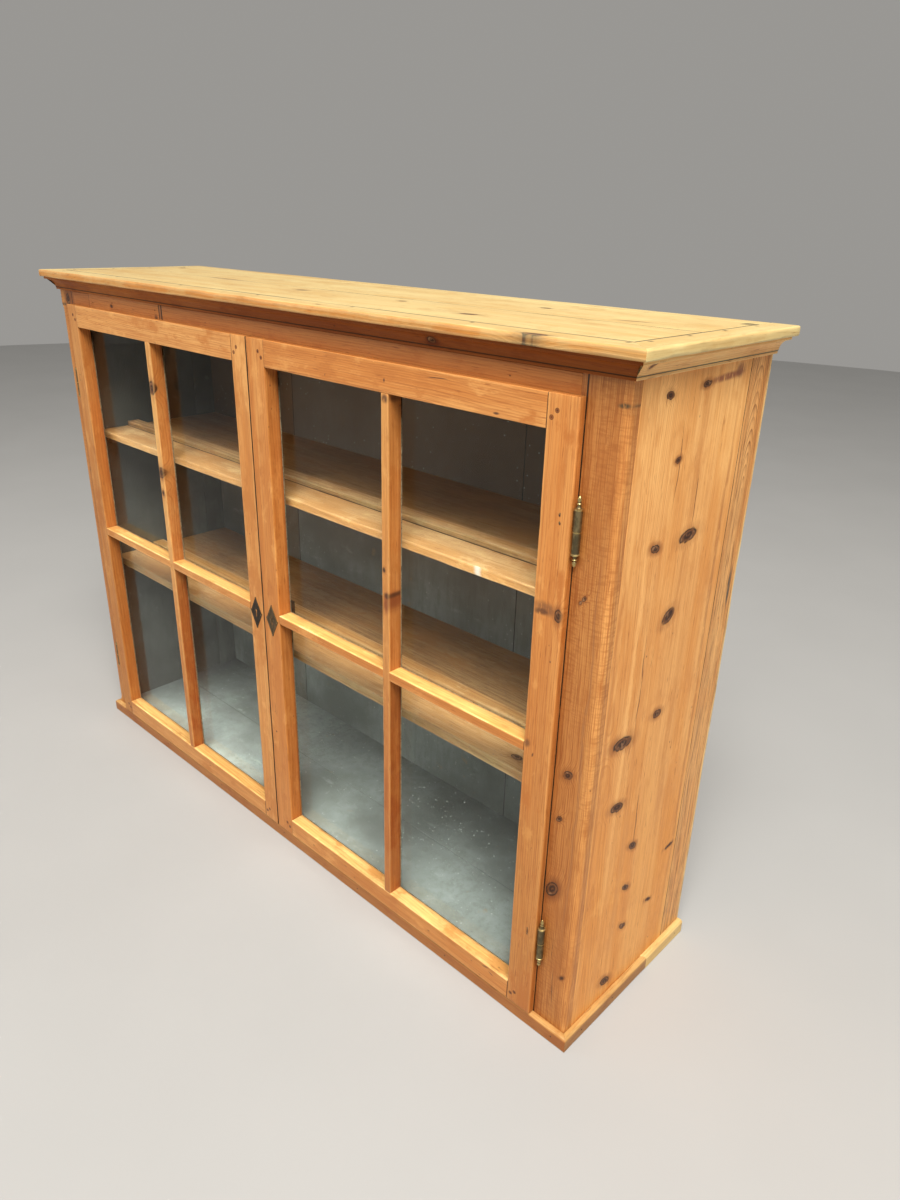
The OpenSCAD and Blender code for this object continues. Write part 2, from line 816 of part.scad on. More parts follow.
// Meeting stile: full thickness at its outer edge, e is that edge
module meeting_stile(w, e) {
    u0 = e - w;
    difference() {
        union() {
            span([u0, -door_proud, door_z0], [e, -lip_gap, door_z1]);
            span([u0, -door_proud / 2, inner_z0], [e, door_in, inner_z1]);
        }
        span([u0 - over, glass_y, sight_z0 - rebate_w], [u0 + rebate_w, door_in + over, sight_z1 + rebate_w]);
        stile_mortises(u0, 1);
        corner_pegs(u0, 1, peg_r + nail_fit, over);
        translate([e, 0, 0]) children();
    }
}

// Rails between the stiles, u0 and u1 are the shoulders
module door_rail(top, u0, u1) {
    t = tenon_z(top);
    lip_z = top ? [sight_z1, door_z1] : [door_z0, sight_z0];
    in_z = top ? [sight_z1, inner_z1] : [inner_z0, sight_z0];
    reb_z = top ? [sight_z1 - over, sight_z1 + rebate_w] : [sight_z0 - rebate_w, sight_z0 + over];
    stub_z = top ? [sight_z1 - over, sight_z1 + stub_l + over] : [sight_z0 - stub_l - over, sight_z0 + over];
    mid_u = (u0 + u1) / 2;
    difference() {
        union() {
            span([u0, -door_proud, lip_z[0]], [u1, -lip_gap, lip_z[1]]);
            span([u0, -door_proud / 2, in_z[0]], [u1, door_in, in_z[1]]);
            span([u0 - tenon_l, tenon_y, t[0]], [u1 + tenon_l, tenon_y + tenon_t, t[1]]);
        }
        span([u0 - over, glass_y, reb_z[0]], [u1 + over, door_in + over, reb_z[1]]);
        span([mid_u - bar_w / 2 + stub_shoulder - touch, tenon_y - touch, stub_z[0]],
             [mid_u + bar_w / 2 - stub_shoulder + touch, tenon_y + tenon_t + touch, stub_z[1]]);
        corner_pegs(u0, -1, peg_r + nail_fit, over);
        corner_pegs(u1, 1, peg_r + nail_fit, over);
    }
}

// Glazing bars, halved where they cross: the upright runs through in front
module upright_bar(u0, u1) {
    m = (u0 + u1) / 2;
    b = bar_w / 2;
    c = cross_bar_w / 2;
    difference() {
        union() {
            span([m - b, -door_proud, sight_z0], [m + b, glass_y, sight_z1]);
            span([m - tongue_w / 2, 0, sight_z0], [m + tongue_w / 2, door_in, sight_z1]);
            span([m - b + stub_shoulder, tenon_y, sight_z0 - stub_l],
                 [m + b - stub_shoulder, tenon_y + tenon_t, sight_z1 + stub_l]);
        }
        span([m - b - over, -touch / 2, sight_mid - c - touch],
             [m + b + over, glass_y + over, sight_mid + c + touch]);
        span([m - b - over, glass_y, sight_mid - tongue_w / 2 - touch],
             [m + b + over, door_in + over, sight_mid + tongue_w / 2 + touch]);
    }
}
module cross_bar(u0, u1) {
    m = (u0 + u1) / 2;
    b = bar_w / 2 + touch;
    c = cross_bar_w / 2;
    difference() {
        union() {
            span([u0, -door_proud, sight_mid - c], [u1, glass_y, sight_mid + c]);
            span([u0, 0, sight_mid - tongue_w / 2], [u1, door_in, sight_mid + tongue_w / 2]);
            span([u0 - stub_l, tenon_y, sight_mid - c + stub_shoulder],
                 [u1 + stub_l, tenon_y + tenon_t, sight_mid + c - stub_shoulder]);
        }
        span([m - b, -door_proud - over, sight_mid - c - over], [m + b, touch / 2, sight_mid + c + over]);
    }
}

// The four glass openings between sight lines u0 and u1, as [u0, u1, z0, z1]
// with the depth of the rebate beyond each side
function openings(u0, u1) = [
    for (i = [0, 1]) for (j = [0, 1]) [
        i == 0 ? u0 : (u0 + u1 + bar_w) / 2,
        i == 0 ? (u0 + u1 - bar_w) / 2 : u1,
        j == 0 ? sight_z0 : sight_mid + cross_bar_w / 2,
        j == 0 ? sight_mid - cross_bar_w / 2 : sight_z1,
        i == 0 ? rebate_w : (bar_w - tongue_w) / 2,
        i == 0 ? (bar_w - tongue_w) / 2 : rebate_w,
        j == 0 ? rebate_w : (cross_bar_w - tongue_w) / 2,
        j == 0 ? (cross_bar_w - tongue_w) / 2 : rebate_w
    ]
];
module panes(u0, u1) {
    g = pane_gap;
    for (o = openings(u0, u1))
        span([o[0] - o[4] + g, glass_y, o[2] - o[6] + g], [o[1] + o[5] - g, glass_back, o[3] + o[7] - g]);
}

// One length of sloped putty along +X: full depth at its wall, none at the sight line
module putty_strip(l, w) {
    translate([0, glass_back, 0]) rotate([90, 0, 90])
        linear_extrude(l) polygon([[0, 0], [putty_t, 0], [0, w]]);
}
module putty(u0, u1) {
    for (o = openings(u0, u1)) {
        a = o[0] - o[4];
        b = o[1] + o[5];
        c = o[2] - o[6];
        d = o[3] + o[7];
        translate([a, 0, c]) putty_strip(b - a, o[6]);
        translate([a, 0, d]) mirror([0, 0, 1]) putty_strip(b - a, o[7]);
        translate([a, 0, c]) mirror([1, 0, 0]) rotate([0, -90, 0]) putty_strip(d - c, o[4]);
        translate([b, 0, c]) rotate([0, -90, 0]) putty_strip(d - c, o[5]);
    }
}

// Keyhole: a round eye over a slot, centred on the eye, through a depth d
module keyhole(d) {
    slot_w = eye_r * 1.1;
    rotate([-90, 0, 0]) cylinder(r = eye_r, h = d);
    translate([-slot_w / 2, 0, -slot_h]) cube([slot_w, d, slot_h]);
}

// Diamond plate with a small boss for a pin at each point, in front of the door face
function plate_points() = [
    for (a = [0:90:270]) [(plate_w / 2 - boss_r) * sin(a), (plate_h / 2 - boss_r) * cos(a)]
];
module escutcheon(u) {
    difference() {
        translate([u, -door_proud, plate_z]) rotate([90, 0, 0]) {
            linear_extrude(plate_t)
                polygon([[0, plate_h / 2], [plate_w / 2, 0], [0, -plate_h / 2], [-plate_w / 2, 0]]);
            for (p = plate_points()) translate(p) cylinder(r = boss_r, h = plate_t);
        }
        translate([u, -door_proud - plate_t - over, keyhole_z]) keyhole(plate_t + 2 * over);
        plate_pins(u, plate_pin_r + nail_fit, over);
    }
}
module plate_pins(u, r, gap) {
    for (p = plate_points())
        translate([u + p[0], -door_proud - plate_t - gap, plate_z + p[1]])
            rotate([-90, 0, 0]) cylinder(r = r, h = plate_t + plate_pin_l + 2 * gap);
}
module plate_pin_heads(u) {
    for (p = plate_points())
        translate([u + p[0], -door_proud - plate_t, plate_z + p[1]])
            rotate([90, 0, 0]) cylinder(r1 = pin_head_r, r2 = pin_head_r / 2, h = pin_head_h, $fn = 24);
}
module door_pins(u) {
    plate_pins(u, plate_pin_r, 0);
    plate_pin_heads(u);
    for (z = hinge_zs) translate([-hinge_out, hinge_y, z]) door_leaf_pins(0, 0);
}

// Left door
module left_hinge_stile() { color(pine) on_left_door() hinge_stile(ls); }
module left_meeting_stile() {
    color(pine) on_left_door() meeting_stile(left_meeting_stile_w, le) {
        translate([-left_keyhole_in, -door_proud - over, keyhole_z]) keyhole(door_proud);
        plate_pins(-left_keyhole_in, plate_pin_r + nail_fit, over);
    }
}
module left_top_rail() { color(pine) on_left_door() door_rail(true, ls, lm); }
module left_bottom_rail() { color(pine) on_left_door() door_rail(false, ls, lm); }
module left_upright_bar() { color(pine) on_left_door() upright_bar(ls, lm); }
module left_cross_bar() { color(pine) on_left_door() cross_bar(ls, lm); }
module left_panes() { color(glass_tint, 0.5) on_left_door() panes(ls, lm); }
module left_putty() { color(putty_tint) on_left_door() putty(ls, lm); }
module left_pegs() {
    color(dark_wood) on_left_door() {
        corner_pegs(ls, -1, peg_r, 0);
        corner_pegs(lm, 1, peg_r, 0);
    }
}
module left_door_pins() { color(dark_iron) on_left_door() door_pins(le - left_keyhole_in); }
module left_escutcheon() { color(dark_iron) on_left_door() escutcheon(le - left_keyhole_in); }

// Rod bolts on the back of the left meeting stile: plates with two staples each
module rod_plate() {
    difference() {
        union() {
            span([-rod_plate_w / 2, door_in, -rod_plate_l], [rod_plate_w / 2, door_in + rod_plate_t, 0]);
            for (z = [-staple_in, -rod_plate_l + staple_in + staple_h])
                span([-staple_w / 2, door_in, z - staple_h],
                     [staple_w / 2, door_in + rod_plate_t + staple_t, z]);
        }
        translate([0, rod_y, -rod_plate_l - over]) cylinder(r = rod_r + touch, h = rod_plate_l + 2 * over);
    }
}
module rod_bolt() {
    knob_l = 8;
    stem_l = rod_r + knob_l * 0.4;
    stem_r = rod_r * 0.7;
    knob_r = rod_r * 1.3;
    translate([0, rod_y, -rod_l]) cylinder(r = rod_r, h = rod_l);
    translate([0, rod_y, -rod_l / 2]) rotate([-90, 0, 0]) {
        cylinder(r = stem_r, h = rod_r + knob_l);
        translate([0, 0, stem_l]) cylinder(r1 = stem_r, r2 = knob_r, h = rod_r + knob_l - stem_l);
    }
}
module at_rod(top) {
    on_left_door() translate([le - bolt_mid_in, 0, top ? inner_z1 - tip_gap : inner_z0 + tip_gap])
        mirror([0, 0, top ? 0 : 1]) children();
}
module left_bolt_plates() {
    color(dark_iron) {
        at_rod(true) rod_plate();
        at_rod(false) rod_plate();
    }
}
module left_top_bolt() { color(old_brass) at_rod(true) rod_bolt(); }
module left_bottom_bolt() { color(old_brass) at_rod(false) rod_bolt(); }

// Keep for the lock bolt, on the back of the left meeting stile
module lock_keep() {
    keep_w = 22;
    keep_end = 4;
    keep_rim = 6;
    keep_gap = 0.8;
    wall = bolt_h / 2 + keep_rim;
    color(old_brass) on_left_door() difference() {
        span([le - keep_w, door_in, lock_bolt_z - wall], [le, door_in + lock_t, lock_bolt_z + wall]);
        span([le - bolt_throw - keep_end, bolt_y - slack, lock_bolt_z - bolt_h / 2 - keep_gap],
             [le + over, bolt_y + bolt_t + keep_gap, lock_bolt_z + bolt_h / 2 + keep_gap]);
    }
}

// Right door
module right_hinge_stile() { color(pine) on_right_door() hinge_stile(rs); }
module right_meeting_stile() {
    color(pine) on_right_door() meeting_stile(right_meeting_stile_w, re) {
        translate([-right_keyhole_in, -door_proud - over, keyhole_z]) keyhole(door_t + 2 * over);
        plate_pins(-right_keyhole_in, plate_pin_r + nail_fit, over);
        translate([-re, 0, 0]) lock_screws(screw_r + nail_fit, over);
    }
}
module right_top_rail() { color(pine) on_right_door() door_rail(true, rs, rm); }
module right_bottom_rail() { color(pine) on_right_door() door_rail(false, rs, rm); }
module right_upright_bar() { color(pine) on_right_door() upright_bar(rs, rm); }
module right_cross_bar() { color(pine) on_right_door() cross_bar(rs, rm); }
module right_panes() { color(glass_tint, 0.5) on_right_door() panes(rs, rm); }
module right_putty() { color(putty_tint) on_right_door() putty(rs, rm); }
module right_pegs() {
    color(dark_wood) on_right_door() {
        corner_pegs(rs, -1, peg_r, 0);
        corner_pegs(rm, 1, peg_r, 0);
    }
}
module right_door_pins() {
    color(dark_iron) on_right_door() {
        door_pins(re - right_keyhole_in);
        lock_screws(screw_r, 0);
    }
}
module right_escutcheon() { color(dark_iron) on_right_door() escutcheon(re - right_keyhole_in); }

// Lock on the back of the right meeting stile, screwed at its corners
module lock_screws(r, gap) {
    for (u = [lock_u0 + lock_screw_in, lock_u1 - lock_screw_in])
        for (z = [-1, 1] * (lock_h / 2 - lock_screw_in))
            translate([u, door_in - screw_in, keyhole_z + z])
                rotate([-90, 0, 0]) cylinder(r = r, h = lock_t + screw_in + gap);
}
module lock_case() {
    back_wall = 2;
    color(dark_iron) on_right_door() difference() {
        span([lock_u0, door_in, keyhole_z - lock_h / 2], [lock_u1, door_in + lock_t, keyhole_z + lock_h / 2]);
        span([lock_u1 - lock_bolt_l - slack, bolt_y - slack, lock_bolt_z - bolt_h / 2 - slack],
             [lock_u1 + over, bolt_y + bolt_t + slack, lock_bolt_z + bolt_h / 2 + slack]);
        translate([re - right_keyhole_in, door_in - over, keyhole_z]) keyhole(over + lock_t - back_wall);
        lock_screws(screw_r + nail_fit, over);
    }
}
module lock_bolt() {
    notch = 6;
    color(old_brass) on_right_door() difference() {
        span([lock_u1 - lock_bolt_l, bolt_y, lock_bolt_z - bolt_h / 2],
             [lock_u1, bolt_y + bolt_t, lock_bolt_z + bolt_h / 2]);
        translate([re - right_keyhole_in - notch / 2, door_in, lock_bolt_z - bolt_h / 2 - over])
            cube([notch, lock_t, notch / 2 + over]);
    }
}

left_side();
right_side();
left_post();
right_post();
frieze_rail();
frieze_patch();
bottom_rail();
floor_boards();
base_front();
base_left();
base_right();
base_patch();
cove_front();
cove_left();
cove_right();
top_front_strip();
top_left_strip();
top_right_strip();
top_back_strip();
top_boards();
back_boards();
upper_shelf();
lower_shelf();
upper_plate_strip();
lower_plate_strip();
shelf_cleats();
hinge_post_halves();
case_nails();
top_bolt_keep();
left_hinge_stile();
left_meeting_stile();
left_top_rail();
left_bottom_rail();
left_upright_bar();
left_cross_bar();
left_panes();
left_putty();
left_pegs();
left_hinge_halves();
left_door_pins();
left_escutcheon();
left_bolt_plates();
left_top_bolt();
left_bottom_bolt();
lock_keep();
right_hinge_stile();
right_meeting_stile();
right_top_rail();
right_bottom_rail();
right_upright_bar();
right_cross_bar();
right_panes();
right_putty();
right_pegs();
right_hinge_halves();
right_door_pins();
right_escutcheon();
lock_case();
lock_bolt();
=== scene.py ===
"""Display cabinet in old waxed pine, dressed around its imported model.

Every wooden member is a section carried along its grain, with worn arrises, and each has its
own pine, whose rings, knots, seams and stains are worked out from Object coordinates.
Metres, +Z up, +X to the right along the front, -Y towards the user.
"""
import math

import bmesh
import bpy
import numpy as np
from mathutils import Matrix, Vector


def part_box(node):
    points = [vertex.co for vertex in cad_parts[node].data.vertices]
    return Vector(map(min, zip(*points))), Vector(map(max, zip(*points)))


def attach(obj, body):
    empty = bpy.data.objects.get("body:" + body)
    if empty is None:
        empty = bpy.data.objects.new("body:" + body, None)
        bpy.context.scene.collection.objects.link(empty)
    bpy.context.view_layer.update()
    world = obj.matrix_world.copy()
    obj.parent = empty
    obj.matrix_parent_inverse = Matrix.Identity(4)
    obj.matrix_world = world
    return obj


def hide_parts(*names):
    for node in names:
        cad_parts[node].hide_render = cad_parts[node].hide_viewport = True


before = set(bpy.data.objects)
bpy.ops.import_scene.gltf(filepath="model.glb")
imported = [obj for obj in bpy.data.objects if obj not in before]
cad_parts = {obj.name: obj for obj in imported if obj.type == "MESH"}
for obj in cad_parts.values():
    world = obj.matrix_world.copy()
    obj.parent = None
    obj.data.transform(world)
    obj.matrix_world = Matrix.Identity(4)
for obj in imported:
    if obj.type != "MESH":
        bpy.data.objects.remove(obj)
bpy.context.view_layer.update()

bl_info = {
    "name": "Old pine display cabinet",
    "version": (1, 0, 0),
    "blender": (4, 5, 0),
    "location": "View3D > Sidebar > Cabinet",
    "description": "Dresses a two-door glazed pine cabinet around its model",
    "category": "Add Mesh",
}

BOX = {name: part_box(name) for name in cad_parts}

# Planes of the case and the doors, read from the frame
CASE_FRONT = BOX["frieze_rail"][0].y
CASE_BACK = BOX["right_side"][1].y
CASE_SIDE = BOX["right_side"][1].x
SIDE_IN = BOX["right_side"][0].x
SIDE_FRONT = BOX["right_side"][0].y
UNDER_TOP = BOX["top_boards"][0].z
TOP_Z = BOX["top_boards"][1].z
BASE_H = BOX["base_front"][1].z
COVE_FOOT = BOX["cove_front"][0].z
DOOR_FACE = BOX["left_top_rail"][0].y
DOOR_BACK = BOX["left_bottom_rail"][1].y
DOOR_FOOT = BOX["left_hinge_stile"][0].z
DOOR_HEAD = BOX["left_hinge_stile"][1].z
SIGHT_LOW = BOX["left_bottom_rail"][1].z
SIGHT_HIGH = BOX["left_top_rail"][0].z
MEETING_X = BOX["left_meeting_stile"][1].x
GLASS_FRONT = BOX["left_panes"][0].y

# Sizes that the solids share with this script
LIP_GAP = 0.0005
LIP = 0.0117
REBATE = 0.008
TONGUE = 0.006
CASE_TENON = 0.030
REAR_BOARD = 0.070
BACK_RIGHT_BOARD = 0.461
BASE_BEVEL = 0.004
SCARF_RUN = 0.008
COVE_STEP = (0.006, 0.005)
COVE_R = 0.018
CORNER_R = 0.020
HINGE_IN = 0.018
HINGE_OUT = 0.008
PEG_IN = 0.008
PEG_STEP = 0.009
KNUCKLE = 0.032
HINGE_ZS = (0.206, 0.971)
LEAF_T = 0.002
LEAF_INSET = 0.002
LEAF_DOOR = 0.028
LEAF_POST = 0.0255
KEYHOLE_Z = 0.586
LEFT_KEYHOLE_IN = 0.026
RIGHT_KEYHOLE_IN = 0.028
INNER_FOOT = DOOR_FOOT + LIP
INNER_HEAD = DOOR_HEAD - LIP

# Sizes of this script alone: half a joint between boards, the dark line drawn at the doors'
# joints and, as painted shade, along the gap where the doors meet, the distance from the cove
# to the stop of the posts' rounding, how far the inside paint laps on, the nails' distance
# from the case's faces, the holes that the pegs show in and the pegs themselves, a little
# thinner than the solids', how far from a hinge's axis its leaves start, inside the knuckle,
# and the heights of two worn places
JOINT = 0.0003
DOOR_JOINT = 0.0011
CORNER_STOP = 0.034
PAINT_LAP = 0.0012
NAIL_IN = 0.0073
PEG_HOLE_R = 0.0030
PEG_R = 0.0024
LEAF_START = 0.003
SCAR_Z = 0.795
NIBBLED_Z = 1.09


class CabinetWear(bpy.types.PropertyGroup):
    """Sizes of the wear that years of use left on the wood."""
    arris: bpy.props.FloatProperty(
        name="Arris", description="Radius of the worn edges", default=0.0014, unit="LENGTH")
    ripple: bpy.props.FloatProperty(
        name="Ripple", description="Height of the waves left by hand planing", default=0.00035,
        unit="LENGTH")
    chips: bpy.props.FloatProperty(
        name="Chips", description="Extra radius where an edge is chipped", default=0.0016,
        unit="LENGTH")
    ring: bpy.props.FloatProperty(
        name="Rings", description="Distance between two growth rings", default=0.0036,
        unit="LENGTH")


class CabinetColours(bpy.types.PropertyGroup):
    """Main colours of the finishes."""
    front: bpy.props.FloatVectorProperty(
        name="Front pine", description="Early wood of the doors and the front frame",
        default=(0.64, 0.28, 0.075), subtype="COLOR")
    side: bpy.props.FloatVectorProperty(
        name="Side pine", description="Early wood of the sides", default=(0.84, 0.42, 0.135),
        subtype="COLOR")
    top: bpy.props.FloatVectorProperty(
        name="Top pine", description="Early wood of the top", default=(0.70, 0.53, 0.225),
        subtype="COLOR")
    shelf: bpy.props.FloatVectorProperty(
        name="Shelf pine", description="Bare wood of the shelves", default=(0.56, 0.35, 0.16),
        subtype="COLOR")
    # Dark wax of the front cove, which also holds painted shade under the top's overhang
    cove: bpy.props.FloatVectorProperty(
        name="Cove pine", description="Dark wax of the cove", default=(0.25, 0.064, 0.009),
        subtype="COLOR")
    paint: bpy.props.FloatVectorProperty(
        name="Inside paint", description="Blue-grey paint of the floor, back and inner sides",
        default=(0.22, 0.25, 0.24), subtype="COLOR")
    brass: bpy.props.FloatVectorProperty(
        name="Brass", description="Aged brass of the hinges and bolts",
        default=(0.29, 0.225, 0.115), subtype="COLOR")
    iron: bpy.props.FloatVectorProperty(
        name="Iron", description="Dark iron of the lock, plates and nails",
        default=(0.055, 0.045, 0.035), subtype="COLOR")


class CabinetStudio(bpy.types.PropertyGroup):
    """The floor and the lights."""
    floor_size: bpy.props.FloatProperty(
        name="Floor", description="Radius of the pale floor", default=9.0, unit="LENGTH")
    key: bpy.props.FloatProperty(
        name="Key light", description="Power of the large light above the front right",
        default=760.0, unit="POWER")
    fill: bpy.props.FloatProperty(
        name="Fill light", description="Power of the light at the front left", default=36.0,
        unit="POWER")
    sky: bpy.props.FloatProperty(
        name="Room light", description="Strength of the light from all sides", default=0.32)


# Shader maths

class Wire:
    """A value in a material. Arithmetic on it adds Math nodes to its tree."""

    def __init__(self, tree, socket):
        self.tree = tree
        self.socket = socket

    def math(self, operation, *others):
        return self.tree.make("ShaderNodeMath", {"operation": operation}, (self, *others))

    def __add__(self, other):
        return self.math("ADD", other)

    def __sub__(self, other):
        return self.math("SUBTRACT", other)

    def __mul__(self, other):
        return self.math("MULTIPLY", other)

    def __pow__(self, other):
        return self.math("POWER", other)

    def __rsub__(self, other):
        return self.tree.make("ShaderNodeMath", {"operation": "SUBTRACT"}, (other, self))

    __radd__ = __add__
    __rmul__ = __mul__

    def least(self, other):
        return self.math("MINIMUM", other)

    def most(self, other):
        return self.math("MAXIMUM", other)

    def size(self):
        return self.math("ABSOLUTE")

    def part(self):
        return self.math("FRACT")

    def step(self, low, high, start=0.0, end=1.0):
        """Smooth change from start to end as the value goes from low to high."""
        return self.tree.make(
            "ShaderNodeMapRange", {"interpolation_type": "SMOOTHSTEP"},
            {"Value": self, "From Min": low, "From Max": high, "To Min": start, "To Max": end})

    def line(self, place, width, core=0.0, full=1.0):
        """Full at a place, falling to 0 at the width, with a flat core as a share of it."""
        return (self - place).size().step(width * core, width, full, 0.0)


class Finish:
    """A material's node tree and the few nodes that every finish here needs."""

    def __init__(self, name):
        self.material = bpy.data.materials.new(name)
        self.material.use_nodes = True
        self.nodes = self.material.node_tree.nodes
        self.links = self.material.node_tree.links
        self.shader = self.nodes["Principled BSDF"]
        self.output = self.nodes["Material Output"]

    def feed(self, socket, value):
        """Links a wire to a socket, or sets the socket to a value."""
        if isinstance(value, Wire):
            self.links.new(value.socket, socket)
        elif socket.type == "RGBA" and len(value) == 3:
            socket.default_value = (*value, 1.0)
        else:
            socket.default_value = value

    def make(self, kind, settings, inputs, output=0):
        """Adds a node: its settings first, then its sockets by number or by name."""
        node = self.nodes.new(kind)
        for key, value in settings.items():
            setattr(node, key, value)
        pairs = inputs.items() if isinstance(inputs, dict) else enumerate(inputs)
        for key, value in pairs:
            self.feed(node.inputs[key], value)
        return Wire(self, node.outputs[output])

    def place(self):
        """Object coordinates as three values, in metres."""
        here = self.make("ShaderNodeTexCoord", {}, (), "Object")
        node = self.nodes.new("ShaderNodeSeparateXYZ")
        self.links.new(here.socket, node.inputs[0])
        return [Wire(self, out) for out in node.outputs]

    def point(self, x, y, z=0.0):
        return self.make("ShaderNodeCombineXYZ", {}, (x, y, z))

    def noise(self, point, scale, detail=2.0, rough=0.5):
        return self.make(
            "ShaderNodeTexNoise", {},
            {"Vector": point, "Scale": scale, "Detail": detail, "Roughness": rough}, "Fac")

    def cells(self, point, feature="F1"):
        """Distance to the nearest of scattered points, or to the edge of its cell."""
        return self.make("ShaderNodeTexVoronoi", {"feature": feature},
                         {"Vector": point, "Scale": 1.0}, "Distance")

    def attribute(self, name):
        return self.make("ShaderNodeAttribute", {"attribute_name": name}, (), "Fac")

    def mix(self, factor, low, high, how="MIX"):
        """Two colours mixed by a factor."""
        return self.make(
            "ShaderNodeMix", {"data_type": "RGBA", "blend_type": how},
            {0: factor, 6: low, 7: high}, 2)

    def layers(self, colour, *masks):
        """Lays tints over a colour in turn, each given as (mask, tint)."""
        for mask, tint in masks:
            colour = self.mix(mask, colour, tint)
        return colour

    def shine(self, **values):
        """Sets or links the shader's own sockets by name."""
        for name, value in values.items():
            self.feed(self.shader.inputs[name.replace("_", " ")], value)

    def bump(self, height, strength, distance):
        normal = self.make(
            "ShaderNodeBump", {},
            {"Strength": strength, "Distance": distance, "Height": height}, "Normal")
        self.feed(self.shader.inputs["Normal"], normal)


def scaled(colour, *factors):
    """A colour times one factor, or one factor a channel."""
    factors = factors * 3 if len(factors) == 1 else factors
    return tuple(min(1.0, c * f) for c, f in zip(colour, factors))


# Pine. The grain runs along one axis; the two others are across the face and into it.

GRAIN = {"x": (0, 2, 1), "y": (1, 2, 0), "z": (2, 0, 1), "side": (2, 1, 0), "top": (0, 1, 2),
         "end": (1, 0, 2)}

# How far two boards lie apart in the noise, along the grain
SEED_STEP = 3.17


class Board(Finish):
    """A board's finish, with its place along the grain, across the face and into it."""

    def __init__(self, name, grain, seed):
        super().__init__(name)
        self.xyz = self.place()
        self.along, self.across, self.depth = (self.xyz[i] for i in GRAIN[grain])
        self.shift = seed * SEED_STEP
        self.drift = self.flow(1.3, 4.0)
        self.sway = self.flow(9.0, 22.0)

    def flow(self, run, wide, detail=2.0, rough=0.5):
        """Noise drawn out along the grain, by its frequencies along and across."""
        return self.noise(
            self.point(self.along * run + self.shift, self.across * wide, self.depth * wide),
            1.0, detail, rough)

    def ellipse(self, point, place):
        """Distance from the middle of an ellipse, 1 on its rim. Its place is (along, across,
        half length, half width, turn in degrees)."""
        along, across, long, wide, turned = place
        local = self.make("ShaderNodeMapping", {"vector_type": "TEXTURE"},
                          {"Vector": point, "Location": (along, across, 0.0),
                           "Rotation": (0.0, 0.0, math.radians(turned)),
                           "Scale": (long, wide, 1.0)})
        return self.make("ShaderNodeVectorMath", {"operation": "LENGTH"}, (local,), "Value")


def knot_gap(b, knots, skin, fade):
    """Distance to the nearest knot, 1 on its rim, and the noise that makes rims ragged. With a
    skin, knots show only on the face at that depth: the distance grows by fade a metre."""
    if not knots:
        return None, None
    ragged = b.noise(b.point(b.along * 70.0 + b.shift, b.across * 90.0), 1.0, 2.0)
    face = b.point(b.along + (ragged - 0.5) * 0.006, b.across + (ragged - 0.5) * 0.006)
    nearest = None
    for place in knots:
        gap = b.ellipse(face, place)
        if skin is not None:
            gap = gap + (b.depth - skin).size() * fade
        nearest = gap if nearest is None else nearest.least(gap)
    return nearest, ragged


def late_wood(b, centre, heart, tilt, ring, wander, blunt, knot):
    """Growth rings, from 0 to 1. They are circles round the tree's heart, which lies at the
    given distances across and below the middle of the face and leans along the grain:
    ring number = distance / ring width, and more near a knot. Each ring darkens as the cube of
    its own fraction and drops at once, with a force of its own. The heart wanders along the
    grain, and blunt is the least depth, which flattens the tips of a cathedral grain."""
    u = b.across - centre[1] + (b.drift - 0.5) * 0.035 + (b.sway - 0.5) * 0.006
    below = b.depth - centre[2] + heart[1] + (b.along - centre[0]) * tilt
    if wander:
        below = below + (b.noise(b.point(b.along * 1.4 + b.shift, 0.5), 1.0) - 0.5) * wander
    if blunt is not None:
        below = below.most(blunt)
    radius = ((u + heart[0]) * (u + heart[0]) + below * below) ** 0.5
    count = radius * (1.0 / ring)
    if knot is not None:
        swell = knot.step(0.7, 4.5, 1.0, 0.0)
        count = count + swell * swell * 2.6
    force = b.make("ShaderNodeTexWhiteNoise", {"noise_dimensions": "1D"},
                   {"W": count.math("FLOOR") + b.shift}, "Value")
    phase = count.part()
    return (phase * phase * phase).least((1.0 - phase) * 5.0) * (force * 0.8 + 0.2)


def wood_tones(b, early, band, fibre, wax, late, contrast, bands, mottle):
    """Early wood in warm and pale stripes and clouds, then the late wood and the fibres, then
    the patches of worn wax and short dark dashes."""
    narrow = b.flow(1.6, 120.0, 2.0, 0.6)
    stripe = b.flow(0.9, 26.0, 3.0, 0.55)
    cloud = b.flow(3.0, 8.0, 3.0)
    dash = b.flow(30.0, 330.0)
    deep = scaled(early, late, late * 0.70, late * 0.45)
    warm = scaled(early, 0.88, 0.72, 0.52)
    pale = scaled(early, 1.10, 1.18, 1.25)
    return b.layers(
        early,
        (stripe.step(0.40, 0.62) * bands, warm),
        (cloud.step(0.45, 0.70) * 0.6, pale),
        (cloud.step(0.42, 0.30) * bands * 0.8, warm),
        (narrow.step(0.42, 0.66) * 0.38 * bands, scaled(early, 0.74, 0.56, 0.40)),
        (narrow.step(0.40, 0.28) * 0.4 * bands, pale),
        (band * contrast, deep),
        (fibre.step(0.46, 0.70) * 0.55 * contrast, deep),
        (fibre.step(0.42, 0.28) * 0.45 * contrast, pale),
        (wax.step(0.48, 0.36) * mottle, scaled(early, 0.76, 0.60, 0.44)),
        (wax.step(0.56, 0.68) * mottle * 0.7, pale),
        (dash.step(0.64, 0.74) * 0.6, scaled(early, 0.42, 0.26, 0.16)))


def saw_marks(b, colour, early, strength):
    """Fine marks of a saw across the grain, in patches."""
    chatter = b.noise(
        b.point(b.along * 260.0 + b.drift * 9.0, b.across * 48.0, b.depth * 48.0), 1.0)
    mask = chatter.step(0.46, 0.62) * b.flow(5.0, 24.0).step(0.32, 0.56) * strength
    return b.mix(mask, colour, scaled(early, 0.62, 0.46, 0.32))


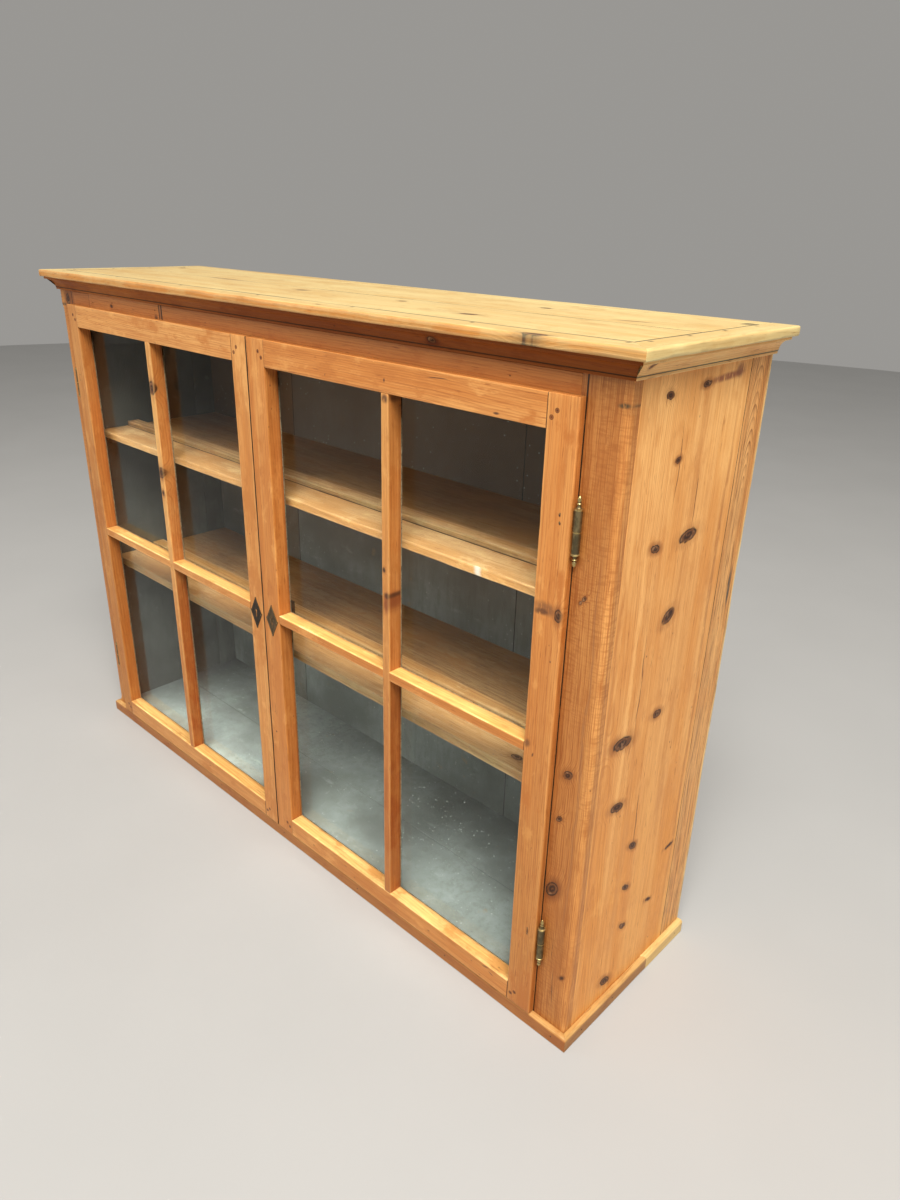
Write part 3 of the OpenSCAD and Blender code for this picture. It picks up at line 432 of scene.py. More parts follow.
def stains(b, colour, streaks):
    """Stains, cracks and scars with gritty edges, each an ellipse with a tint and strength."""
    for *place, tint, strength in streaks:
        gap = b.ellipse(b.point(b.along, b.across + (b.sway - 0.5) * 0.02), place)
        grit = b.noise(b.point(b.along * 40.0, b.across * 160.0), 1.0, 3.0, 0.7)
        mask = gap.step(0.3, 1.0, 1.0, 0.0) * grit.step(0.3, 0.5)
        colour = b.mix(mask * strength, colour, tint)
    return colour


def knot_tones(b, colour, early, knot, ragged, wax):
    """A dark halo, the knot's own rings as a sine of the distance, and its rim. Returns the
    rim too, which is a groove."""
    halo = knot.step(0.9, 2.3, 1.0, 0.0) * (wax.step(0.60, 0.36) * 0.7 + 0.3)
    rings = (knot * 8.0 + ragged * 5.0).math("SINE") * 0.5 + 0.5
    body = b.mix(rings, (0.036, 0.011, 0.003), (0.165, 0.058, 0.016))
    body = b.mix(ragged.step(0.54, 0.64), body, (0.26, 0.125, 0.055))
    rim = knot.line(0.86, 0.16) * ragged.step(0.30, 0.55)
    return b.layers(colour,
                    (halo * 0.85, scaled(early, 0.40, 0.27, 0.19)),
                    (knot.step(0.70, 1.15, 1.0, 0.0), body),
                    (rim * 0.95, (0.022, 0.009, 0.004))), rim


def peg_ends(b, colour, early, dots):
    """The dark ends of pegs, each (along, across, radius), with a darker joint around."""
    for along, across, radius in dots:
        gap = b.ellipse(b.point(b.along, b.across), (along, across, radius, radius, 0.0))
        colour = b.layers(colour,
                          (gap.step(1.25, 1.0, 0.0, 0.9), scaled(early, 0.34, 0.22, 0.14)),
                          (gap.line(1.12, 0.22, full=0.9), (0.03, 0.014, 0.008)))
    return colour


def nail_stains(b, colour, pitch, first, axis, inset):
    """A dark stain round each nail of a row along an axis of the plan, and of its mirror."""
    off = ((b.xyz[axis] - first) * (1 / pitch) + 0.5).part() * pitch - pitch / 2
    side = b.xyz[1 - axis].size() - abs(inset)
    near = (off * off + side * side) ** 0.5
    return b.mix(near.step(0.0015, 0.006, 0.85, 0.0), colour, (0.05, 0.025, 0.012))


def inside_paint(b, colour, gloss, seed, sign, tint, rear):
    """Paint on the face towards the inside of the cabinet, multiplied towards the back by the
    factor rear, a painted light. Returns the colour and the gloss."""
    lap = SIDE_IN + PAINT_LAP
    inside = (b.xyz[0] * sign).step(lap - 0.0003, lap, 1.0, 0.0)
    coat = old_paint(b, b.xyz, tint, seed)
    # Painted light: the paint is multiplied by rear towards the back
    coat = b.mix(b.xyz[1].step(-0.04, 0.17), coat, b.mix(1.0, coat, (rear,) * 3, "MULTIPLY"))
    return b.mix(inside, colour, coat), gloss + inside * 0.2


def pine(name, grain, centre, early, *, seed, heart=(0.09, 0.05), tilt=0.012, ring=0.0036,
         wander=0.0, blunt=None, late=0.55, contrast=1.0, bands=0.5, mottle=0.5, sawn=0.0,
         knots=(), skin=None, fade=90.0, streaks=(), faces=(), dots=(), nails=None, seams=(),
         edge_light=0.2, edge_dirt=0.3, paint=None, rough=0.5, sheen=0.4):
    """One board's wood, in layers, each as its own function above says. early is the colour
    of the early wood and late the share of it that is left in the late wood. contrast, bands,
    mottle and sawn are the strengths of the rings, the stripes, the worn wax and the saw
    marks. A face multiplies the colour towards a tint along an axis (axis, from, to, tint,
    strength), and a seam is a dark groove (axis, place, width). edge_light lightens the worn
    edges, as rubbed wood and as a painted highlight, and edge_dirt darkens them, where the
    attribute edge is 1."""
    b = Board(name, grain, seed)
    knot, ragged = knot_gap(b, knots, skin, fade)
    mid = [centre[i] for i in GRAIN[grain]]
    band = late_wood(b, mid, heart, tilt, ring, wander, blunt, knot)
    fibre = b.flow(14.0, 520.0, 3.0, 0.65)
    wax = b.flow(9.0, 17.0, 5.0, 0.68)
    height = band * 0.6 - fibre * 0.4
    colour = wood_tones(b, early, band, fibre, wax, late, contrast, bands, mottle)
    if sawn:
        colour = saw_marks(b, colour, early, sawn)
    for axis, start, end, tint, strength in faces:
        uneven = wax.step(0.34, 0.60) * 0.5 + 0.5
        change = tuple(to / was for to, was in zip(tint, early))
        mask = b.xyz[axis].step(start, end) * uneven * strength
        colour = b.mix(mask, colour, change, "MULTIPLY")
    colour = stains(b, colour, streaks)
    if knot is not None:
        colour, rim = knot_tones(b, colour, early, knot, ragged, wax)
        height = height - rim * 0.9
    speck = b.cells(b.point(b.along * 38.0, b.across * 60.0, b.depth * 60.0 + b.shift))
    flecks = speck.step(0.035, 0.11, 1.0, 0.0) * b.flow(9.0, 14.0, 1.0).step(0.58, 0.63)
    colour = b.mix(flecks * 0.8, colour, scaled(early, 0.16, 0.10, 0.07))
    height = height - flecks * 0.8
    colour = peg_ends(b, colour, early, dots)
    if nails is not None:
        colour = nail_stains(b, colour, *nails)
    for axis, where, width in seams:
        line = b.xyz[axis].line(where, width, core=0.4)
        broken = b.noise(b.point(b.along * 22.0, b.across * 22.0, b.depth * 22.0), 1.0)
        colour = b.mix(line * broken.step(0.12, 0.32), colour, (0.022, 0.012, 0.007))
        height = height - line * 2.0
    edge = b.attribute("edge")
    rub = b.flow(13.0, 40.0, 3.0, 0.6)
    # Worn edges: lighter as rubbed wood and as a painted highlight, and darker with dirt where
    # the rub is low
    colour = b.layers(
        colour,
        (edge * (rub + 0.3) * edge_light, scaled(early, 1.3, 1.5, 1.9)),
        (edge * rub.step(0.42, 0.30) * edge_dirt, scaled(early, 0.25, 0.17, 0.11)))
    polish = b.noise(b.point(b.along * 9.0, b.across * 30.0 + b.shift, b.depth * 30.0), 1.0)
    gloss = polish * 0.2 + (rough - 0.1) + band * 0.06
    if paint is not None:
        colour, gloss = inside_paint(b, colour, gloss, seed, *paint)
    b.shine(Base_Color=colour, Roughness=gloss, Specular_IOR_Level=sheen)
    b.bump(height, 0.6, 0.0011)
    return b.material


def old_paint(f, xyz, tint, seed):
    """Colour of thin blue-grey paint: brushed along Z and X, rubbed in clouds, with pale chips
    and scratches."""
    x, y, z = xyz
    brush = f.noise(f.point(x * 60.0 + seed, y * 60.0, z * 14.0), 1.0, 4.0, 0.7)
    cloud = f.noise(f.point(x * 4.0, y * 4.0 + seed, z * 4.0), 1.0, 4.0, 0.6)
    smear = f.noise(f.point(x * 11.0 + seed, y * 26.0, z * 26.0), 1.0, 3.0, 0.7)
    chip = f.cells(f.point(x * 45.0 + seed, y * 45.0, z * 45.0))
    return f.layers(
        scaled(tint, 0.60, 0.58, 0.56),
        (cloud.step(0.32, 0.68), scaled(tint, 1.2)),
        (brush.step(0.42, 0.66) * 0.45, scaled(tint, 0.66, 0.64, 0.60)),
        (smear.step(0.60, 0.78) * 0.35, scaled(tint, 1.9, 1.9, 1.8)),
        (chip.step(0.10, 0.05) * cloud.step(0.4, 0.5) * 0.6, scaled(tint, 2.6, 2.5, 2.3)))


# Surfaces

ARC_POINTS = 5
FLAT_POINTS = 5
EDGE_FADE = 0.003
AXES = {"x": (0, 1, 2), "y": (1, 0, 2), "z": (2, 0, 1)}


def rounded(corners, radii):
    """Closed outlines (stations, points, 2) of polygons whose corners are eased, and 1 on the
    eased points. With unit edges a into corner C and b out of it, the curve is
    (1-s)^2 (C - r a) + 2 s (1-s) C + s^2 (C + r b), for s from 0 to 1."""
    before = corners - np.roll(corners, 1, axis=1)
    after = np.roll(corners, -1, axis=1) - corners
    long_a = np.linalg.norm(before, axis=-1, keepdims=True)
    long_b = np.linalg.norm(after, axis=-1, keepdims=True)
    r = np.minimum(radii[..., None], 0.45 * np.minimum(long_a, long_b))[:, :, None]
    a = (before / np.maximum(long_a, 1e-9))[:, :, None]
    b = (after / np.maximum(long_b, 1e-9))[:, :, None]
    c = corners[:, :, None]
    s = np.linspace(0.0, 1.0, ARC_POINTS)[None, None, :, None]
    arc = (1 - s) ** 2 * (c - r * a) + 2 * s * (1 - s) * c + s ** 2 * (c + r * b)
    leave = arc[:, :, -1:]
    reach = np.roll(arc[:, :, :1], -1, axis=1)
    run = np.linalg.norm(reach - leave, axis=-1, keepdims=True)
    way = (reach - leave) / np.maximum(run, 1e-9)
    fade = np.minimum(EDGE_FADE, run / 3)
    share = np.linspace(0.0, 1.0, FLAT_POINTS)[None, None, :, None]
    flat = leave + way * (fade + (run - 2 * fade) * share)
    outline = np.concatenate([arc, flat], axis=2)
    mark = np.concatenate([np.ones(arc.shape[:3]), np.zeros(flat.shape[:3])], axis=2)
    rows = corners.shape[0]
    return outline.reshape(rows, -1, 2), mark.reshape(rows, -1)


def waves(rng, where, lengths, amount):
    """Sum of sine waves, one for each length, in random directions: at most the amount."""
    total = np.zeros(where.shape[:-1])
    for length in lengths:
        way = rng.normal(size=where.shape[-1])
        way /= np.linalg.norm(way)
        total += np.sin(where @ way * (2 * math.pi / length) + rng.uniform(0, 2 * math.pi))
    return total * (amount / len(lengths))


def stations(start, end, ease, step, breaks=()):
    """Places along a board: evenly spread, at ease * (1 - cos a) from both ends for a from 0
    to 90 degrees, and on both sides of each break."""
    turn = np.linspace(0.0, math.pi / 2, 4)
    tip = ease * (1 - np.cos(turn))
    marks = np.linspace(start + ease, end - ease, max(4, round((end - start) / step)))
    cuts = [b + d for b in breaks for d in (-1e-5, 1e-5)]
    return np.unique(np.concatenate([start + tip, end - tip, marks, cuts]))


def carry(section, start, end, axis, *, arris, seed, radii=None, lean=(0.0, 0.0), about=0.0,
          ripple=0.0003, chips=0.0, ease=0.0006, step=0.012, breaks=(), plain=()):
    """A section carried along an axis from start to end. section is a polygon, or a function
    that gives one polygon for each place along. Corner radii vary as
    arris * (1 + waves) + the sum of chips * exp(-((t - place) / width)^2). The surface moves
    along its normal by waves of at most ripple. Either end may lean, which makes a mitre:
    place = end + lean * (the section's first coordinate - about). Corners named in plain are
    on a curve and don't wear. Returns points (stations, points, 3) and the edge mark."""
    rng = np.random.default_rng(seed)
    t = stations(start, end, ease, step, breaks)
    if callable(section):
        corners = section(t)
    else:
        corners = np.broadcast_to(np.array(section, float), (len(t), len(section), 2))
    count = corners.shape[1]
    base = np.full((len(t), count), arris) if radii is None else radii(t)
    phase = np.stack(np.broadcast_arrays(t[:, None], np.arange(count)[None] * 0.37), axis=-1)
    base = base * (1 + waves(rng, phase, (0.31, 0.17, 0.11, 0.06), 0.55))
    for corner in range(count):
        for _ in range(3):
            place = rng.uniform(start, end)
            width = rng.uniform(0.006, 0.03)
            base[:, corner] += chips * rng.uniform(0.2, 1) * np.exp(-((t - place) / width) ** 2)
    outline, mark = rounded(corners, base)
    worn = np.ones(count)
    worn[list(plain)] = 0.0
    mark = mark * np.repeat(worn, ARC_POINTS + FLAT_POINTS)
    tangent = np.roll(outline, -1, axis=1) - np.roll(outline, 1, axis=1)
    normal = np.stack([tangent[..., 1], -tangent[..., 0]], axis=-1)
    normal /= np.maximum(np.linalg.norm(normal, axis=-1, keepdims=True), 1e-9)
    area = np.sum(outline[:, :, 0] * np.roll(outline, -1, 1)[:, :, 1]
                  - outline[:, :, 1] * np.roll(outline, -1, 1)[:, :, 0], axis=1)
    normal *= np.sign(area)[:, None, None]
    solid = np.concatenate(
        [np.broadcast_to(t[:, None, None], (*outline.shape[:2], 1)), outline], axis=-1)
    swell = -np.abs(waves(rng, solid, (0.6, 0.37, 0.23), ripple))
    near = np.minimum(t - start, end - t)
    inset = ease - np.sqrt(np.maximum(ease ** 2 - np.maximum(ease - near, 0.0) ** 2, 0.0))
    outline = outline + normal * (swell - inset[:, None])[..., None]
    mark = np.maximum(mark, (near < ease * 0.99)[:, None])
    share = ((t - start) / (end - start))[:, None]
    low = start + lean[0] * (outline[..., 0] - about)
    high = end + lean[1] * (outline[..., 0] - about)
    place = low + (high - low) * share
    points = np.empty((*outline.shape[:2], 3))
    run, first, second = AXES[axis]
    points[..., run] = place
    points[..., first] = outline[..., 0]
    points[..., second] = outline[..., 1]
    return points, mark


def turn(profile, centre, axis="z", sides=40, facets=0.0):
    """A turned shape: point = centre + (r cos a, r sin a, h) for each (r, h, mark) of the
    profile, with h along the axis. facets flattens it as a whittled peg:
    r * (1 - facets * |sin 4a|)."""
    r, h, shine = np.array(profile, float).T[..., None]
    a = np.linspace(0, 2 * math.pi, sides, endpoint=False)[None]
    r = r * (1 - facets * np.abs(np.sin(4 * a)))
    run, first, second = AXES[axis]
    points = np.empty((len(profile), sides, 3))
    points[..., first] = centre[first] + r * np.cos(a)
    points[..., second] = centre[second] + r * np.sin(a)
    points[..., run] = centre[run] + h
    return points, np.broadcast_to(shine, points.shape[:2])


def skin(points, ring, offset):
    """Faces of a grid that closes around its second direction. Its ends are capped, or joined
    to each other if it is a ring."""
    rows, columns = points.shape[:2]
    i = np.arange(rows if ring else rows - 1)[:, None]
    j = np.arange(columns)[None]
    k = (j + 1) % columns
    here = offset + i * columns
    there = offset + (i + 1) % rows * columns
    quads = np.stack([here + j, here + k, there + k, there + j], axis=-1).reshape(-1, 4).tolist()
    if ring:
        return quads
    first = np.arange(columns) + offset
    return quads + [first[::-1].tolist(), (first + (rows - 1) * columns).tolist()]


def piece(name, shells, material, body, slot, *replaced, ring=False):
    """One object from closed shells, its normals outwards, riding on a body."""
    verts, faces, marks, offset = [], [], [], 0
    for points, mark in shells:
        verts.append(points.reshape(-1, 3))
        marks.append(mark.reshape(-1))
        faces += skin(points, ring, offset)
        offset += points.shape[0] * points.shape[1]
    mesh = bpy.data.meshes.new(name)
    mesh.from_pydata(np.concatenate(verts), [], faces)
    mesh.attributes.new("edge", "FLOAT", "POINT").data.foreach_set(
        "value", np.concatenate(marks).astype(np.float32))
    work = bmesh.new()
    work.from_mesh(mesh)
    bmesh.ops.remove_doubles(work, verts=work.verts, dist=2e-6)
    bmesh.ops.dissolve_degenerate(work, edges=work.edges, dist=1e-6)
    bmesh.ops.recalc_face_normals(work, faces=work.faces)
    work.to_mesh(mesh)
    work.free()
    mesh.shade_smooth()
    mesh.set_sharp_from_angle(angle=math.radians(38))
    mesh.materials.append(material)
    made = bpy.data.objects.new(name, mesh)
    bpy.context.scene.collection.objects.link(made)
    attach(made, body)
    for node in replaced:
        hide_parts(node)
    return made


def dress(node, material):
    """Gives a solid of the frame its finish."""
    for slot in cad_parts[node].material_slots:
        slot.material = material


def middle(node):
    """Middle of a piece's box."""
    low, high = BOX[node]
    return tuple((low + high) / 2)


def rectangle(u0, v0, u1, v1):
    """Corners of an upright rectangle, in turn."""
    return [(u0, v0), (u1, v0), (u1, v1), (u0, v1)]


def plank(label, tenon=0.0, **options):
    """A board along X that fills its piece's box, but for a tenon at both ends."""
    low, high = BOX[label]
    return carry(rectangle(low.y, low.z, high.y, high.z), low.x + tenon, high.x - tenon, "x",
                 **options)


def colours():
    return bpy.context.scene.cabinet_colours


def wear():
    return bpy.context.scene.cabinet_wear


# Knots as (along the grain, across it, half length, half width, turn), in the model's frame.
# The sides' knots are first written in millimetres as (from the posts' front, up, half length,
# half width, turn).

def knots_on_side(places):
    return [(up / 1000, CASE_FRONT + back / 1000, long / 1000, wide / 1000, turned)
            for back, up, long, wide, turned in places]


SIDE_KNOTS = {
    "right_side": knots_on_side([
        (196, 1163, 13, 5, 86), (95, 1158, 11, 6, -82), (140, 1061, 8, 5, 79),
        (202, 932, 27, 11, 87), (106, 934, 13, 7, -75), (174, 804, 19, 12, 68),
        (182, 622, 14, 8, -81), (81, 609, 28, 12, -82), (89, 480, 20, 9, -73),
        (160, 360, 14, 7, -58), (304, 276, 15, 4, 89), (154, 269, 13, 6, -58),
        (250, 178, 11, 4, -67), (162, 172, 13, 6, -57), (123, 63, 18, 9, -61)]),
    "left_side": knots_on_side([
        (120, 1090, 10, 6, 80), (230, 905, 22, 10, 84), (84, 760, 9, 5, 70),
        (196, 590, 15, 7, -78), (110, 402, 20, 9, -82), (262, 300, 9, 4, 75),
        (150, 130, 12, 6, -62)]),
}
POST_KNOTS = {
    "right_post": [(0.872, 0.776, 0.005, 0.003, 32), (0.865, 0.771, 0.0035, 0.0023, 34),
                   (0.566, 0.776, 0.011, 0.0075, 42), (0.477, 0.768, 0.007, 0.0045, 37),
                   (0.329, 0.766, 0.018, 0.011, 27), (0.151, 0.803, 0.006, 0.003, 37)],
    "left_post": [(1.167, -0.783, 0.014, 0.010, 0), (0.74, -0.79, 0.007, 0.005, 10)],
}


def side_marks(side_tint, right):
    """Dirty lines along both edges of a side's wide board, softer bands between them and four
    cracks, and on the right the red smear near the top."""
    dark = scaled(side_tint, 0.42, 0.27, 0.2)
    band = scaled(side_tint, 0.72, 0.60, 0.50)
    crack = (0.16, 0.055, 0.018)
    marks = [(0.85, 0.118, 0.34, 0.007, 0, dark, 0.55),
             (0.45, 0.128, 0.40, 0.006, 0, dark, 0.45),
             (0.60, -0.158, 0.55, 0.007, 0, scaled(side_tint, 0.62, 0.45, 0.33), 0.6),
             (0.95, 0.010, 0.30, 0.010, 1, band, 0.6),
             (0.52, 0.044, 0.26, 0.012, -1, band, 0.6),
             (0.70, -0.104, 0.50, 0.009, 0, scaled(side_tint, 1.15, 1.22, 1.3), 0.7),
             (0.30, -0.060, 0.28, 0.012, 1, scaled(side_tint, 0.78, 0.66, 0.55), 0.5)]
    marks += [(up, place, long, 0.0021, 0, crack, 0.85)
              for up, place, long in ((1.055, -0.045, 0.075), (0.990, 0.018, 0.060),
                                      (0.700, -0.072, 0.110), (0.420, -0.030, 0.090))]
    smear = [(1.167, 0.066, 0.062, 0.008, 87, (0.27, 0.075, 0.04), 0.85),
             (1.172, 0.104, 0.016, 0.020, 0, (0.20, 0.055, 0.03), 0.75)]
    return smear + marks if right else marks


def side_board(label, sign, seed):
    """A wide board and a narrow one behind it, painted inside. On the right the rear edge has
    a waney scar: its radius grows by 3 mm * exp(-((z - SCAR_Z) / 45 mm)^4)."""
    low, high = BOX[label]
    right = sign > 0
    seam = CASE_BACK - REAR_BOARD
    inner, out = sorted((sign * SIDE_IN, sign * CASE_SIDE), key=abs)
    tint = colours().side
    ripple = wear().ripple

    def rear_radii(t):
        r = np.full((len(t), 4), 0.0010)
        if right:
            r[:, 2] = 0.0022 + 0.003 * np.exp(-((t - SCAR_Z) / 0.045) ** 4)
        return r

    wide = carry(rectangle(inner, SIDE_FRONT, out, seam - JOINT), low.z, high.z, "z",
                 arris=0.0005, seed=seed, ripple=ripple)
    rear = carry(rectangle(inner, seam + JOINT, out, CASE_BACK), low.z, high.z, "z",
                 arris=0.001, seed=seed + 1, radii=rear_radii, ripple=ripple)
    paint = colours().paint
    # On the left the inner wall's paint is much darker, a painted shade, and 1.9 times lighter
    # towards the back, a painted light
    inside = (1, tuple(paint), 1.0) if right else (-1, scaled(paint, 0.30, 0.285, 0.26), 1.9)
    wood = pine(label, "side", middle(label), tuple(tint), seed=seed, heart=(0.17, 0.03),
                tilt=0.02, late=0.62, contrast=0.9, bands=0.8, mottle=0.4,
                knots=SIDE_KNOTS[label], ring=wear().ring, sheen=0.3,
                seams=[(1, seam, 0.0010)], streaks=side_marks(tint, right),
                faces=[(2, 0.82, 1.14, scaled(tint, 1.12, 1.20, 1.28), 0.9),
                       (1, 0.0, 0.12, scaled(tint, 1.05, 1.09, 1.12), 0.8),
                       (2, 0.62, 0.20, scaled(tint, 1.04, 1.01, 0.88), 0.9)],
                edge_light=0.08, edge_dirt=0.1, paint=inside)
    piece(f"{label}_wide_board", [wide], wood, "case", "side_pine", label)
    scar = [(SCAR_Z, 0.189, 0.054, 0.0055, 1, (0.085, 0.07, 0.05), 0.95)] if right else []
    bare = (1, CASE_BACK - 0.0085, CASE_BACK - 0.0055, scaled(tint, 1.18, 1.70, 2.4), 1.0)
    wood = pine(f"{label}_rear", "side", (sign * CASE_SIDE, CASE_BACK - 0.038, 0.93),
                scaled(tint, 1.0, 1.02, 1.06), seed=seed + 1, heart=(0.0, 0.0), tilt=0.15,
                blunt=0.004, late=0.32, contrast=1.8, wander=0.012, bands=0.9, mottle=0.4,
                streaks=scar, seams=[(1, seam, 0.0012)], faces=[bare], edge_light=0.05,
                edge_dirt=0.0, ring=wear().ring * 0.85, paint=inside)
    piece(f"{label}_rear_board", [rear], wood, "case", "side_pine", label)


def front_post(label, sign, seed):
    """A post whose outer front arris swells to a 20 mm rounding between its two stops: the
    radius follows s * (2 - s), with s rising from 0 to 1 beyond each stop."""
    low, high = BOX[label]
    lip = BOX[label.replace("post", "hinge_stile")][1 if sign > 0 else 0].x
    stop_top = COVE_FOOT - CORNER_STOP
    stop_foot = BASE_H + 0.006
    rise_top, rise_foot = 0.024, 0.014
    sharp = 0.0012
    c = colours()

    def radii(t):
        r = np.full((len(t), 4), 0.0008)
        swell = (np.clip((stop_top - t) / rise_top, 0, 1)
                 * np.clip((t - stop_foot) / rise_foot, 0, 1))
        r[:, 1 if sign > 0 else 0] = sharp + (CORNER_R - sharp) * (swell * (2 - swell))
        return r

    shell = carry(rectangle(low.x, low.y, high.x, high.y), low.z, high.z, "z", arris=0.001,
                  seed=seed, radii=radii, ripple=wear().ripple, plain=(0, 1),
                  breaks=(stop_top, stop_top - rise_top / 2, stop_top - rise_top,
                          stop_foot + rise_foot))
    crack = (0.07, 0.03, 0.012)
    # Painted shade: the rounding towards the side is darkened where it faces the light
    rounding = (0, sign * (CASE_SIDE - 0.021), sign * (CASE_SIDE - 0.007),
                scaled(c.side, 0.78, 0.70, 0.60), 1.0)
    by_the_door = (0, lip + sign * 0.022, lip + sign * 0.004,
                   scaled(c.front, 0.60, 0.50, 0.42), 0.8)
    material = pine(
        label, "z", middle(label), scaled(c.front, 0.78, 0.73, 0.66), seed=seed,
        heart=(0.045 * sign, 0.035), tilt=0.010, ring=wear().ring * 0.85, late=0.58,
        contrast=1.5, wander=0.012, knots=POST_KNOTS[label], edge_light=0.05, edge_dirt=0.1,
        # The seam at lip is a dark line on the post along the door's lip: dirt and the painted
        # shade of the gap
        sawn=0.45, faces=[rounding, by_the_door], seams=[(0, lip, 0.0017)],
        streaks=[(1.154, sign * (CASE_SIDE - 0.010), 0.016, 0.005, 86, (0.08, 0.05, 0.02), 0.95),
                 (0.115, sign * 0.786, 0.055, 0.0012, 0, crack, 0.95),
                 (0.200, sign * 0.778, 0.030, 0.0011, 1, crack, 0.9),
                 (0.6, sign * (CASE_SIDE - 0.022), 0.5, 0.004, 0, (0.30, 0.13, 0.05), 0.4)])
    piece(f"{label}_board", [shell], material, "case", "front_pine", label)


class CABINET_OT_case_boards(bpy.types.Operator):
    """Makes the sides, the front posts and the frieze with its old repair"""
    bl_idname = "cabinet.case_boards"
    bl_label = "Case boards"

    def execute(self, context):
        side_board("right_side", 1, 11)
        side_board("left_side", -1, 23)
        front_post("right_post", 1, 31)
        front_post("left_post", -1, 37)
        c = colours()
        patch = BOX["frieze_patch"]
        front = plank("frieze_rail", CASE_TENON, arris=0.0006, seed=41, ripple=wear().ripple)
        wood = pine("frieze_rail", "x", middle("frieze_rail"), scaled(c.front, 0.77, 0.64, 0.50),
                    seed=41, heart=(0.11, 0.06), ring=wear().ring, contrast=0.8, edge_light=0.1,
                    seams=[(0, patch[1].x + 0.0085, 0.0030), (0, patch[0].x + 0.0005, 0.0014),
                           # The line at COVE_FOOT is the dark joint under the cove, drawn darker
                           # as painted shade
                           (2, COVE_FOOT, 0.0018)],
                    streaks=[(-0.372, 1.163, 0.020, 0.006, 8, (0.05, 0.02, 0.01), 0.8),
                             (-0.349, 1.168, 0.006, 0.022, 0, (0.20, 0.09, 0.04), 0.6)])
        piece("frieze_rail_board", [front], wood, "case", "front_pine", "frieze_rail")
        repair = plank("frieze_patch", arris=0.0009, seed=43, ripple=0.0)
        wood = pine("frieze_patch", "x", middle("frieze_patch"),
                    scaled(c.front, 0.92, 0.86, 0.78), seed=43, heart=(0.05, 0.03),
                    ring=wear().ring, contrast=0.9, edge_dirt=0.8,
                    seams=[(0, patch[1].x - 0.001, 0.0026)],
                    streaks=[(-0.366, 1.160, 0.010, 0.011, 0, (0.06, 0.022, 0.01), 0.85)],
                    knots=[(-0.563, 1.168, 0.006, 0.004, 0)])
        piece("frieze_patch_board", [repair], wood, "case", "side_pine", "frieze_patch")
        dress("bottom_rail", pine("bottom_rail", "x", middle("bottom_rail"), tuple(c.front),
                                  seed=47, ring=wear().ring))
        return {"FINISHED"}


def edging(section, label, place, seed, **options):
    """A strip that turns the front corners in mitres: the front one along X, a side one along
    Y. The section is (outwards, upwards), and a mitred end runs out as far as the section.
    A side strip may reach less far, and a scarf is the slope of its joint with another."""
    if place == "front":
        outline = [(CASE_FRONT - u, v) for u, v in section]
        return carry(outline, -CASE_SIDE, CASE_SIDE, "x", seed=seed, lean=(1.0, -1.0),
                     about=CASE_FRONT, **options)
    sign = -1 if place == "left" else 1
    outline = [(sign * (CASE_SIDE + u), v) for u, v in section]
    scarf = options.pop("scarf", 0.0)
    start, end = options.pop("reach", (CASE_FRONT, CASE_BACK))
    mitre = -sign if start == CASE_FRONT else sign * scarf
    return carry(outline, start, end, "y", seed=seed, about=sign * CASE_SIDE,
                 lean=(mitre, sign * scarf if end != CASE_BACK else 0.0), **options)


class CABINET_OT_base_strips(bpy.types.Operator):
    """Makes the mitred base strips and the newer piece at the rear right"""
    bl_idname = "cabinet.base_strips"
    bl_label = "Base strips"

    def execute(self, context):
        c = colours()
        out = BOX["base_right"][1].x - CASE_SIDE
        section = [(0, 0), (out, 0), (out, BASE_H - BASE_BEVEL), (out - BASE_BEVEL, BASE_H),
                   (0, BASE_H)]
        worn = dict(arris=wear().arris, ripple=wear().ripple, chips=wear().chips)
        cut = BOX["base_patch"][0].y
        slope = SCARF_RUN / out
        shells = {
            "base_front": edging(section, "base_front", "front", 51, **worn),
            "base_left": edging(section, "base_left", "left", 52, **worn),
            "base_right": edging(section, "base_right", "right", 53, scarf=slope,
                                 reach=(CASE_FRONT, cut - 0.0002), **worn),
        }
        # Painted light: the bevel on top of the strips is paler, as if lit from above
        lit_bevel = (2, BASE_H - BASE_BEVEL - 0.001, BASE_H - 0.0025,
                 scaled(c.top, 1.0, 0.85, 0.75), 0.8)
        for number, (label, shell) in enumerate(shells.items()):
            front = label == "base_front"
            tint = c.front if front else scaled(c.side, 0.74, 0.80, 0.84)
            wood = pine(label, "x" if front else "y", middle(label),
                        scaled(tint, 0.64, 0.57, 0.48),
                        seed=51 + number, heart=(0.08, 0.05), ring=wear().ring, faces=[lit_bevel],
                        mottle=0.9, edge_light=0.35)
            piece(f"{label}_strip", [shell], wood, "case", "front_pine", label)
        newer = edging(section, "base_patch", "right", 59, scarf=slope, arris=0.001, ripple=0.0,
                       reach=(cut, CASE_BACK))
        wood = pine("base_patch", "y", middle("base_patch"), scaled(c.top, 1.0, 0.90, 0.80),
                    seed=59, heart=(0.05, 0.05), ring=wear().ring * 1.3, late=0.75,
                    contrast=0.6)
        piece("base_patch_strip", [newer], wood, "case", "side_pine", "base_patch")
        return {"FINISHED"}


